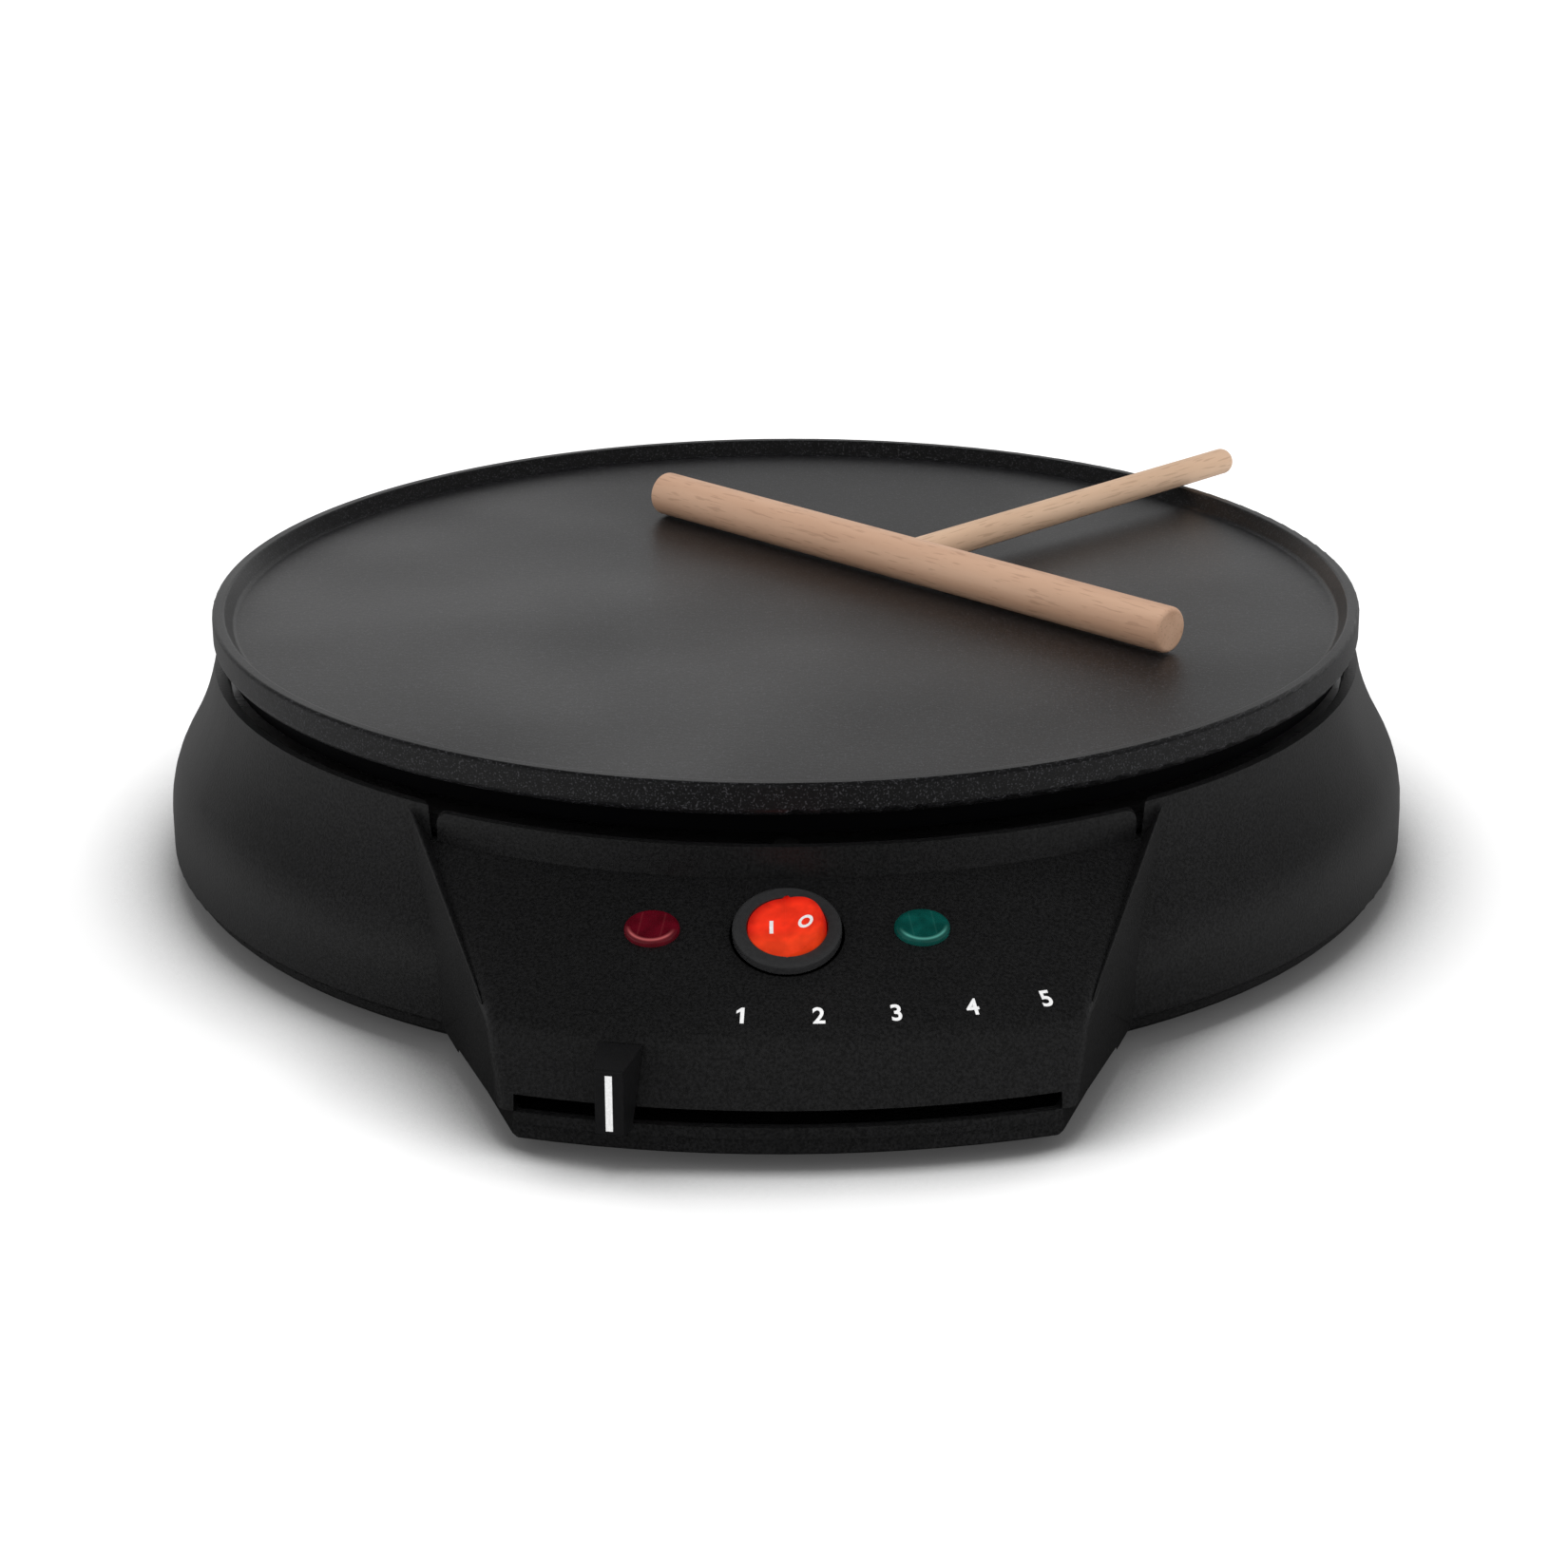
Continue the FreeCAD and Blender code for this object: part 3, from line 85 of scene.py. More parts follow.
class Wiring:
    """A node tree being wired, with short ways to add and join nodes."""

    def __init__(self, tree: bpy.types.NodeTree) -> None:
        """Take up an empty tree.

        Args:
            tree: The tree.
        """
        self.tree = tree

    def node(self, kind: str, **settings: object) -> bpy.types.Node:
        """Add a node and set its attributes.

        Args:
            kind: Blender's name of the node type.
            settings: Attributes set on the node.

        Returns:
            The new node.
        """
        made = self.tree.nodes.new(kind)
        for key, value in settings.items():
            setattr(made, key, value)
        return made

    def join(self, start: bpy.types.NodeSocket, end: bpy.types.NodeSocket) -> None:
        """Link two sockets.

        Args:
            start: The output socket.
            end: The input socket.
        """
        self.tree.links.new(start, end)

    def feed(self, value: bpy.types.NodeSocket | float, end: bpy.types.NodeSocket) -> None:
        """Link a socket to an input, or set a number on it.

        Args:
            value: The socket or the number.
            end: The input socket.
        """
        if isinstance(value, bpy.types.NodeSocket):
            self.join(value, end)
        else:
            end.default_value = value

    def math(self, operation: str, first: bpy.types.NodeSocket | float,
             second: bpy.types.NodeSocket | float = 0.0, clamp: bool = False) -> bpy.types.NodeSocket:
        """Add a math node.

        Args:
            operation: The operation's name.
            first: A socket or a number.
            second: A socket or a number.
            clamp: Keep the result between 0 and 1.

        Returns:
            The result's socket.
        """
        made = self.node("ShaderNodeMath", operation=operation, use_clamp=clamp)
        self.feed(first, made.inputs[0])
        self.feed(second, made.inputs[1])
        return made.outputs[0]

    def spread(self, factor: bpy.types.NodeSocket, low: float, high: float,
               span: tuple[float, float] = (0.0, 1.0), smooth: bool = False) -> bpy.types.NodeSocket:
        """Map a value to a range.

        Args:
            factor: The value.
            low: Result at the span's start.
            high: Result at the span's end.
            span: The values between which the result changes.
            smooth: Ease in and out.

        Returns:
            The result's socket.
        """
        made = self.node("ShaderNodeMapRange",
                         interpolation_type="SMOOTHSTEP" if smooth else "LINEAR")
        made.inputs["From Min"].default_value, made.inputs["From Max"].default_value = span
        made.inputs["To Min"].default_value = low
        made.inputs["To Max"].default_value = high
        self.join(factor, made.inputs["Value"])
        return made.outputs["Result"]

    def mix(self, factor: bpy.types.NodeSocket, low: bpy.types.NodeSocket | float,
            high: bpy.types.NodeSocket | float) -> bpy.types.NodeSocket:
        """Blend two values by a mask.

        Args:
            factor: The mask.
            low: Value where the mask is 0.
            high: Value where the mask is 1.

        Returns:
            The result's socket.
        """
        made = self.node("ShaderNodeMix")
        self.join(factor, made.inputs["Factor"])
        self.feed(low, made.inputs["A"])
        self.feed(high, made.inputs["B"])
        return made.outputs["Result"]


class Shader(Wiring):
    """A material under construction."""

    def __init__(self, name: str) -> None:
        """Start an empty material.

        Args:
            name: Name of the material.
        """
        self.material = bpy.data.materials.new(name)
        self.material.use_nodes = True
        super().__init__(self.material.node_tree)
        self.tree.nodes.clear()
        output = self.node("ShaderNodeOutputMaterial")
        self.surface = self.node("ShaderNodeBsdfPrincipled")
        self.join(self.surface.outputs["BSDF"], output.inputs["Surface"])

    def group(self, tree: bpy.types.NodeTree, **values: object) -> bpy.types.Node:
        """Place a node group with its own values.

        Args:
            tree: The group.
            values: Input values by name, with spaces written as underscores.

        Returns:
            The group node.
        """
        made = self.node("ShaderNodeGroup", node_tree=tree)
        for key, value in values.items():
            made.inputs[key.replace("_", " ")].default_value = value
        return made

    def send(self, socket: bpy.types.NodeSocket, name: str) -> None:
        """Link a socket to one of the surface's inputs.

        Args:
            socket: The socket.
            name: The input's name.
        """
        self.join(socket, self.surface.inputs[name])

    def mix_colours(self, factor: bpy.types.NodeSocket, low: bpy.types.NodeSocket | Colour,
                    high: bpy.types.NodeSocket | Colour) -> bpy.types.NodeSocket:
        """Blend two colours by a mask.

        Args:
            factor: The mask.
            low: Colour where the mask is 0.
            high: Colour where the mask is 1.

        Returns:
            The colour socket.
        """
        made = self.node("ShaderNodeMix", data_type="RGBA")
        self.join(factor, made.inputs["Factor"])
        for value, end in ((low, made.inputs["A"]), (high, made.inputs["B"])):
            self.feed((*value, 1) if isinstance(value, tuple) else value, end)
        return made.outputs["Result"]

    def plain(self, **values: object) -> None:
        """Set constants straight on the shader's own sockets.

        Args:
            values: Socket values by name, with spaces written as underscores.
        """
        for key, value in values.items():
            self.surface.inputs[key.replace("_", " ")].default_value = value

    def place(self, turn: tuple[float, float, float] = (0, 0, 0),
              stretch: tuple[float, float, float] = (1, 1, 1)) -> bpy.types.NodeSocket:
        """Object coordinates, turned and stretched.

        Args:
            turn: Rotation of the pattern in radians.
            stretch: Scale of the pattern along each axis.

        Returns:
            The socket with the coordinates.
        """
        where = self.node("ShaderNodeTexCoord")
        mapping = self.node("ShaderNodeMapping")
        mapping.inputs["Rotation"].default_value = turn
        mapping.inputs["Scale"].default_value = stretch
        self.join(where.outputs["Object"], mapping.inputs["Vector"])
        return mapping.outputs["Vector"]

    def local(self, place: Matrix) -> bpy.types.NodeSocket:
        """Object coordinates seen from a placement, in millimetres.

        Args:
            place: The placement, such as a lamp's seat on the panel.

        Returns:
            The socket with the coordinates.
        """
        back = place.inverted()
        where = self.node("ShaderNodeTexCoord")
        mapping = self.node("ShaderNodeMapping")
        mapping.inputs["Rotation"].default_value = back.to_euler()
        mapping.inputs["Location"].default_value = back.translation / MM
        mapping.inputs["Scale"].default_value = (1 / MM, 1 / MM, 1 / MM)
        self.join(where.outputs["Object"], mapping.inputs["Vector"])
        return mapping.outputs["Vector"]

    def bump(self, height: bpy.types.NodeSocket, distance: float) -> None:
        """Raise the surface by a height field.

        Args:
            height: The height, from 0 to 1.
            distance: Full height in metres.
        """
        bump = self.node("ShaderNodeBump")
        bump.inputs["Distance"].default_value = distance
        bump.inputs["Strength"].default_value = 1.0
        self.join(height, bump.inputs["Height"])
        self.send(bump.outputs["Normal"], "Normal")


class GroupMaker(Wiring):
    """A shader node group under construction."""

    def __init__(self, name: str, inputs: dict[str, float], outputs: tuple[str, ...]) -> None:
        """Start a group with float inputs, a Vector input and float outputs.

        Args:
            name: Name of the group.
            inputs: Default of each float input.
            outputs: Names of the float outputs.
        """
        super().__init__(bpy.data.node_groups.new(name, "ShaderNodeTree"))
        face = self.tree.interface
        face.new_socket(name="Vector", in_out="INPUT", socket_type="NodeSocketVector")
        for key, value in inputs.items():
            socket = face.new_socket(name=key, in_out="INPUT", socket_type="NodeSocketFloat")
            socket.default_value = value
        for key in outputs:
            face.new_socket(name=key, in_out="OUTPUT", socket_type="NodeSocketFloat")
        self.start = self.node("NodeGroupInput")
        self.end = self.node("NodeGroupOutput")

    def noise(self, scale: str, detail: float) -> bpy.types.Node:
        """Add a noise field on the group's vector.

        Args:
            scale: Name of the input that gives the scale.
            detail: Octaves of the field.

        Returns:
            The noise node.
        """
        made = self.node("ShaderNodeTexNoise")
        made.inputs["Detail"].default_value = detail
        self.join(self.start.outputs["Vector"], made.inputs["Vector"])
        self.join(self.start.outputs[scale], made.inputs["Scale"])
        return made

    def give(self, name: str, socket: bpy.types.NodeSocket) -> None:
        """Send a socket to one of the group's outputs.

        Args:
            name: Name of the output.
            socket: The socket.
        """
        self.join(socket, self.end.inputs[name])


def grain_group() -> bpy.types.NodeTree:
    """Fine moulded grain with a slow cloud of handling marks.

    Returns:
        The group with outputs Height and Cloud.
    """
    made = GroupMaker("moulded_grain", {"Grain": 900.0, "Cloud Size": 14.0}, ("Height", "Cloud"))
    fine = made.noise("Grain", 3.0)
    slow = made.noise("Cloud Size", 2.0)
    made.give("Height", fine.outputs["Fac"])
    lifted = made.math("SUBTRACT", slow.outputs["Fac"], 0.35)
    made.give("Cloud", made.math("MULTIPLY", lifted, 3.3, clamp=True))
    return made.tree


def speckle_group() -> bpy.types.NodeTree:
    """Small bright flecks, as in a sprayed coating.

    Returns:
        The group with the output Fleck.
    """
    made = GroupMaker("coating_fleck", {"Scale": 1200.0, "Cut": 0.66}, ("Fleck",))
    field = made.noise("Scale", 1.0)
    over = made.math("SUBTRACT", field.outputs["Fac"], made.start.outputs["Cut"])
    made.give("Fleck", made.math("MULTIPLY", over, 14.0, clamp=True))
    return made.tree


def oval_group() -> bpy.types.NodeTree:
    """Masks on an oval seen from its own placement, in millimetres.

    Returns:
        The group with outputs Edge (0 in the middle, 1 at the rim), Low (1 at the lower
        side) and Facet (1 on the edges of a small square inside).
    """
    made = GroupMaker("oval_masks", {"Half Width": 6.3, "Half Depth": 5.25, "Start": 0.78,
                                     "Square": 2.6}, ("Edge", "Low", "Facet"))
    parts = made.node("ShaderNodeSeparateXYZ")
    made.join(made.start.outputs["Vector"], parts.inputs[0])
    across = made.math("DIVIDE", parts.outputs["X"], made.start.outputs["Half Width"])
    up = made.math("DIVIDE", parts.outputs["Y"], made.start.outputs["Half Depth"])
    total = made.math("ADD", made.math("MULTIPLY", across, across), made.math("MULTIPLY", up, up))
    radius = made.math("SQRT", total)
    rest = made.math("SUBTRACT", 1.0, made.start.outputs["Start"])
    over = made.math("SUBTRACT", radius, made.start.outputs["Start"])
    made.give("Edge", made.math("DIVIDE", over, rest, clamp=True))
    made.give("Low", made.math("MULTIPLY", made.math("ADD", up, 0.1), -2.2, clamp=True))
    wide = made.math("ABSOLUTE", parts.outputs["X"])
    off = made.math("ABSOLUTE", made.math("SUBTRACT", wide, made.start.outputs["Square"]))
    line = made.math("SUBTRACT", 1.0, made.math("MULTIPLY", off, 3.2), clamp=True)
    inside = made.math("LESS_THAN", radius, 0.82)
    made.give("Facet", made.math("MULTIPLY", line, inside))
    return made.tree


GRAIN = grain_group()
FLECK = speckle_group()
OVAL = oval_group()


def scaled(colour: Colour, share: float) -> Colour:
    """Scale a colour.

    Args:
        colour: The colour.
        share: The factor.

    Returns:
        The scaled colour.
    """
    return tuple(c * share for c in colour)


@dataclass(frozen=True)
class MouldedPlastic:
    """Moulded plastic with fine grain and, where a seat is given, painted shade in the gap round the
    part seated there.
    """

    name: str
    colour: Colour
    rough: float = 0.42
    specular: float = 0.3
    grain: float = 900.0
    depth: float = 0.00003
    mottle: float = 0.08
    seat: Matrix | None = None
    seat_radius: float = 12.2
    seat_gap: float = 0.8
    seat_edge: float = 0.3
    light_share: float = 1.12
    dark_share: float = 0.9
    rough_swing: float = 0.05
    speck_span: tuple[float, float] = (0.35, 0.65)

    def paint_gap_shade(self, shader: Shader) -> bpy.types.NodeSocket:
        """Mask of the painted shade in the gap round a round part that sits in the surface.

        Args:
            shader: Material under construction.

        Returns:
            The mask's socket, 0 in the gap and 1 elsewhere.
        """
        flat = shader.node("ShaderNodeVectorMath", operation="MULTIPLY")
        flat.inputs[1].default_value = (1, 1, 0)
        reach = shader.node("ShaderNodeVectorMath", operation="LENGTH")
        shader.join(shader.local(self.seat), flat.inputs[0])
        shader.join(flat.outputs["Vector"], reach.inputs[0])
        end = self.seat_radius + self.seat_gap
        return shader.spread(reach.outputs["Value"], 0.0, 1.0, (end - self.seat_edge, end))

    def build(self) -> bpy.types.Material:
        """Make the material.

        Returns:
            The material.
        """
        shader = Shader(self.name)
        grain = shader.group(GRAIN, Grain=self.grain)
        shader.join(shader.place(), grain.inputs["Vector"])
        colour = shader.mix_colours(grain.outputs["Cloud"], scaled(self.colour, self.dark_share),
                                    scaled(self.colour, self.light_share))
        tones = [shader.spread(grain.outputs["Height"], 1.0 - self.mottle, 1.0 + self.mottle,
                               self.speck_span)]
        shader.plain(Specular_IOR_Level=self.specular)
        # Painted shade in the gap round the seated part: colour and reflection fall to nothing there.
        if self.seat:
            tones.append(self.paint_gap_shade(shader))
            shader.send(shader.spread(tones[-1], 0.0, self.specular), "Specular IOR Level")
        for tone in tones:
            toned = shader.node("ShaderNodeVectorMath", operation="SCALE")
            shader.join(colour, toned.inputs[0])
            shader.join(tone, toned.inputs["Scale"])
            colour = toned.outputs["Vector"]
        shader.send(colour, "Base Color")
        shader.send(shader.spread(grain.outputs["Cloud"], self.rough - self.rough_swing,
                                  self.rough + self.rough_swing), "Roughness")
        shader.bump(grain.outputs["Height"], self.depth)
        return shader.material


@dataclass(frozen=True)
class CoatedMetal:
    """Dark non-stick coating with small flecks; below a given height, painted shade makes it near black
    and takes away its reflection.
    """

    name: str
    colour: Colour
    fleck: Colour
    underside_shade: Colour = (0.0012, 0.0012, 0.0015)
    rough: float = 0.4
    rough_swing: float = 0.06
    specular: float = 0.5
    underside_shade_specular: float = 0.02
    cut: float = 0.6
    scale: float = 2400.0
    underside_shade_z: float = 0.06204
    underside_shade_edge: float = 0.00003
    depth: float = 0.00004

    def build(self) -> bpy.types.Material:
        """Make the material.

        Returns:
            The material.
        """
        shader = Shader(self.name)
        where = shader.place()
        fleck = shader.group(FLECK, Scale=self.scale, Cut=self.cut)
        grain = shader.group(GRAIN, Grain=700.0, Cloud_Size=9.0)
        parts = shader.node("ShaderNodeSeparateXYZ")
        for end in (fleck.inputs["Vector"], grain.inputs["Vector"], parts.inputs[0]):
            shader.join(where, end)
        # Painted shade on the skirt under the rim: near black and without reflection below the given
        # height.
        above_shade = shader.spread(parts.outputs["Z"], 0.0, 1.0, (self.underside_shade_z - self.underside_shade_edge, self.underside_shade_z))
        speckled = shader.mix_colours(fleck.outputs["Fleck"], self.colour, self.fleck)
        shader.send(shader.mix_colours(above_shade, self.underside_shade, speckled), "Base Color")
        shader.send(shader.spread(grain.outputs["Cloud"], self.rough - self.rough_swing,
                                  self.rough + self.rough_swing), "Roughness")
        shader.send(shader.spread(above_shade, self.underside_shade_specular, self.specular), "Specular IOR Level")
        shader.bump(grain.outputs["Height"], self.depth)
        return shader.material


@dataclass(frozen=True)
class BareMetal:
    """Plain sheet or turned metal with a brushed haze."""

    name: str
    colour: Colour
    rough: float = 0.35
    stretch: Noise = Noise.ALONG_X
    dark_share: float = 0.75
    rough_less: float = 0.1
    rough_more: float = 0.12
    depth: float = 0.00001

    def build(self) -> bpy.types.Material:
        """Make the material.

        Returns:
            The material.
        """
        shader = Shader(self.name)
        grain = shader.group(GRAIN, Grain=1500.0, Cloud_Size=40.0)
        shader.join(shader.place(stretch=self.stretch.value), grain.inputs["Vector"])
        shader.send(shader.mix_colours(grain.outputs["Cloud"], scaled(self.colour, self.dark_share),
                                       self.colour), "Base Color")
        shader.send(shader.spread(grain.outputs["Height"], self.rough - self.rough_less,
                                  self.rough + self.rough_more), "Roughness")
        shader.plain(Metallic=1.0)
        shader.bump(grain.outputs["Height"], self.depth)
        return shader.material


@dataclass(frozen=True)
class BeechWood:
    """Fine sanded beech with long grain and short dark flecks."""

    name: str
    turn: float
    light: Colour
    dark: Colour
    pore: Colour = (0.30, 0.16, 0.095)
    pore_share: float = 0.3
    rough: tuple[float, float] = (0.5, 0.7)
    depth: float = 0.00006

    def build(self) -> bpy.types.Material:
        """Make the material.

        Returns:
            The material.
        """
        shader = Shader(self.name)
        longer = shader.node("ShaderNodeMapping")
        longer.inputs["Scale"].default_value = Noise.LONG_FIBRE.value
        grain = shader.group(GRAIN, Grain=650.0, Cloud_Size=160.0)
        pores = shader.group(FLECK, Scale=1500.0, Cut=0.6)
        shader.join(shader.place(turn=(0, 0, -self.turn)), longer.inputs["Vector"])
        shader.join(longer.outputs["Vector"], grain.inputs["Vector"])
        shader.join(longer.outputs["Vector"], pores.inputs["Vector"])
        band = shader.mix_colours(grain.outputs["Cloud"], self.dark, self.light)
        flecked = shader.spread(pores.outputs["Fleck"], 0.0, self.pore_share)
        shader.send(shader.mix_colours(flecked, band, self.pore), "Base Color")
        shader.send(shader.spread(grain.outputs["Height"], *self.rough), "Roughness")
        shader.plain(Specular_IOR_Level=0.35)
        shader.bump(grain.outputs["Height"], self.depth)
        return shader.material


@dataclass(frozen=True)
class LitRocker:
    """Translucent rocker with a lamp behind it, deeper in colour towards its rim; the warmer glow on
    its lower side is a painted highlight.
    """

    name: str
    place: Matrix
    colour: Colour = (0.3, 0.006, 0.002)
    glow: Colour = (1.0, 0.042, 0.012)
    deep: Colour = (0.42, 0.002, 0.001)
    warm_highlight: Colour = (1.0, 0.12, 0.02)
    warm_highlight_share: float = 0.4
    strength: tuple[float, float] = (0.5, 0.66)
    half_width: float = 9.0
    edge_start: float = 0.72
    dark_share: float = 0.7

    def build(self) -> bpy.types.Material:
        """Make the material.

        Returns:
            The material.
        """
        shader = Shader(self.name)
        oval = shader.group(OVAL, Half_Width=self.half_width, Half_Depth=self.half_width,
                            Start=self.edge_start)
        grain = shader.group(GRAIN, Grain=420.0, Cloud_Size=260.0)
        shader.join(shader.local(self.place), oval.inputs["Vector"])
        shader.join(shader.place(), grain.inputs["Vector"])
        lit = shader.mix_colours(oval.outputs["Edge"], self.glow, self.deep)
        # Painted highlight: the lower side glows warmer.
        low = shader.spread(oval.outputs["Low"], 0.0, self.warm_highlight_share)
        shader.send(shader.mix_colours(low, lit, self.warm_highlight), "Emission Color")
        shader.send(shader.spread(grain.outputs["Cloud"], *self.strength), "Emission Strength")
        shader.send(shader.mix_colours(grain.outputs["Cloud"], scaled(self.colour, self.dark_share),
                                       self.colour), "Base Color")
        shader.plain(Roughness=0.16, Specular_IOR_Level=0.5)
        return shader.material


@dataclass(frozen=True)
class LampLens:
    """Dark tinted lens with a facet inside; a light crescent along its lower rim and the facet's edges
    are painted highlights, given as emission.
    """

    name: str
    place: Matrix
    tint: Colour
    bright: Colour
    edge_start: float = 0.74
    dark_share: float = 0.55
    facet_share: float = 0.12
    strength: tuple[float, float] = (0.25, 0.55)
    highlight_crescent: tuple[tuple[float, float], ...] = ((0.0, 0.0), (0.42, 1.0), (0.68, 0.12), (1.0, 0.05))

    def ring(self, shader: Shader, edge: bpy.types.NodeSocket) -> bpy.types.NodeSocket:
        """Brightness of the painted highlight ring near the rim.

        Args:
            shader: Material under construction.
            edge: Mask that rises towards the rim.

        Returns:
            The socket with the brightness.
        """
        made = shader.node("ShaderNodeValToRGB")
        stops = made.color_ramp.elements
        for at, _ in self.highlight_crescent[1:-1]:
            stops.new(at)
        for stop, (at, level) in zip(stops, self.highlight_crescent):
            stop.position = at
            stop.color = (level, level, level, 1)
        shader.join(edge, made.inputs["Fac"])
        return made.outputs["Color"]

    def build(self) -> bpy.types.Material:
        """Make the material.

        Returns:
            The material.
        """
        shader = Shader(self.name)
        oval = shader.group(OVAL, Start=self.edge_start)
        grain = shader.group(GRAIN, Grain=1300.0, Cloud_Size=330.0)
        shader.join(shader.local(self.place), oval.inputs["Vector"])
        shader.join(shader.place(), grain.inputs["Vector"])
        shader.send(shader.mix_colours(grain.outputs["Cloud"], scaled(self.tint, self.dark_share),
                                       self.tint), "Base Color")
        # Painted highlights: the crescent on the lower rim and the glowing edges of the inner facet.
        highlight_crescent = shader.math("MULTIPLY", self.ring(shader, oval.outputs["Edge"]), oval.outputs["Low"])
        facet = shader.spread(oval.outputs["Facet"], 0.0, self.facet_share)
        both = shader.math("MAXIMUM", highlight_crescent, facet)
        shader.send(shader.mix_colours(both, self.tint, self.bright), "Emission Color")
        shader.send(shader.spread(both, *self.strength), "Emission Strength")
        shader.plain(Roughness=0.1, Specular_IOR_Level=0.5)
        return shader.material


@dataclass(frozen=True)
class ClearGlass:
    """Thin clear glass."""

    name: str
    shade: Colour = (0.85, 0.85, 0.85)
    clear: Colour = (1, 0.98, 0.95)

    def build(self) -> bpy.types.Material:
        """Make the material.

        Returns:
            The material.
        """
        shader = Shader(self.name)
        grain = shader.group(GRAIN, Grain=300.0)
        shader.join(shader.place(), grain.inputs["Vector"])
        shader.send(shader.mix_colours(grain.outputs["Cloud"], self.shade, self.clear), "Base Color")
        shader.plain(Roughness=0.05, Transmission_Weight=0.9)
        return shader.material


@dataclass
class ControlPanel:
    """The sloped panel of the nose, as a cone around the plate's axis."""

    ridge_r: float = 0.1948
    ridge_z: float = 0.029278
    slope: float = math.radians(24.0)

    def frame(self, angle: float, up: float) -> Matrix:
        """Placement on the panel: X along it, Y up the slope, Z straight out.

        Args:
            angle: Plan angle from the front in degrees, plus to the right.
            up: Distance from the ridge up the slope in metres.

        Returns:
            The placement.
        """
        turn = math.radians(angle)
        out = Vector((math.sin(turn), -math.cos(turn), 0))
        along = Vector((math.cos(turn), math.sin(turn), 0))
        rise = out * -math.cos(self.slope) + Vector((0, 0, math.sin(self.slope)))
        normal = along.cross(rise)
        radius = self.ridge_r - up * math.cos(self.slope)
        at = out * radius + Vector((0, AXIS_Y, self.ridge_z + up * math.sin(self.slope)))
        matrix = Matrix((along, rise, normal)).transposed().to_4x4()
        matrix.translation = at
        return matrix


class Finishes:
    """Every material of the crepe maker, built once."""

    def __init__(self, panel: ControlPanel) -> None:
        """Build them all.

        Args:
            panel: The panel that the lit parts stand on.
        """
        bar = math.radians(BAR_TURN)
        handle = math.radians(HANDLE_TURN)
        case = MouldedPlastic("cover_plastic", (0.0085, 0.0085, 0.0088), 0.38, 0.42, 1500.0,
                              0.00008, 0.45)
        self.cover = case.build()
        # The housing gets painted shade in the gap round the switch's bezel.
        self.housing = replace(case, name="housing_plastic", seat=panel.frame(0, SWITCH_UP)).build()
        self.knob = MouldedPlastic("knob_plastic", (0.008, 0.008, 0.0085), 0.36, 0.35).build()
        self.switch = MouldedPlastic("switch_plastic", (0.028, 0.028, 0.029), 0.3, 0.4).build()
        self.rubber = MouldedPlastic("foot_rubber", (0.012, 0.012, 0.012), 0.7, 0.2, 500.0).build()
        self.white = MouldedPlastic("white_moulding", (0.62, 0.61, 0.57), 0.5, 0.4).build()
        self.ceramic = MouldedPlastic("bushing_ceramic", (0.7, 0.68, 0.62), 0.6, 0.4, 400.0).build()
        self.ink = MouldedPlastic("white_ink", (0.86, 0.86, 0.86), 0.5, 0.3, 2000.0, 0.00001).build()
        self.thermostat = MouldedPlastic("thermostat_moulding", (0.05, 0.045, 0.04), 0.5, 0.4).build()
        self.plate = CoatedMetal("plate_coating", (0.005, 0.005, 0.0055), (0.045, 0.045, 0.05)).build()
        self.heater = BareMetal("oxidised_tube", (0.22, 0.2, 0.18), 0.45, Noise.EVEN).build()
        self.sheet = BareMetal("bright_sheet", (0.62, 0.62, 0.63), 0.3).build()
        self.zinc = BareMetal("zinc_plate", (0.5, 0.5, 0.5), 0.32, Noise.ALONG_Z).build()
        self.brass = BareMetal("brass_blade", (0.62, 0.45, 0.2), 0.3, Noise.EVEN).build()
        self.bar = BeechWood("bar_beech", bar, (0.66, 0.42, 0.285), (0.58, 0.35, 0.23)).build()
        self.handle = BeechWood("handle_beech", handle, (0.72, 0.5, 0.345), (0.63, 0.42, 0.28)).build()
        self.rocker = LitRocker("lit_rocker", panel.frame(0, SWITCH_UP)).build()
        self.red = LampLens("red_lens", panel.frame(-LAMP_ANGLE, LAMP_UP), (0.075, 0.0012, 0.006),
                            (0.75, 0.2, 0.2)).build()
        self.green = LampLens("green_lens", panel.frame(LAMP_ANGLE, LAMP_UP), (0.0015, 0.052, 0.043),
                              (0.16, 0.5, 0.42)).build()
        self.glass = ClearGlass("lamp_glass").build()


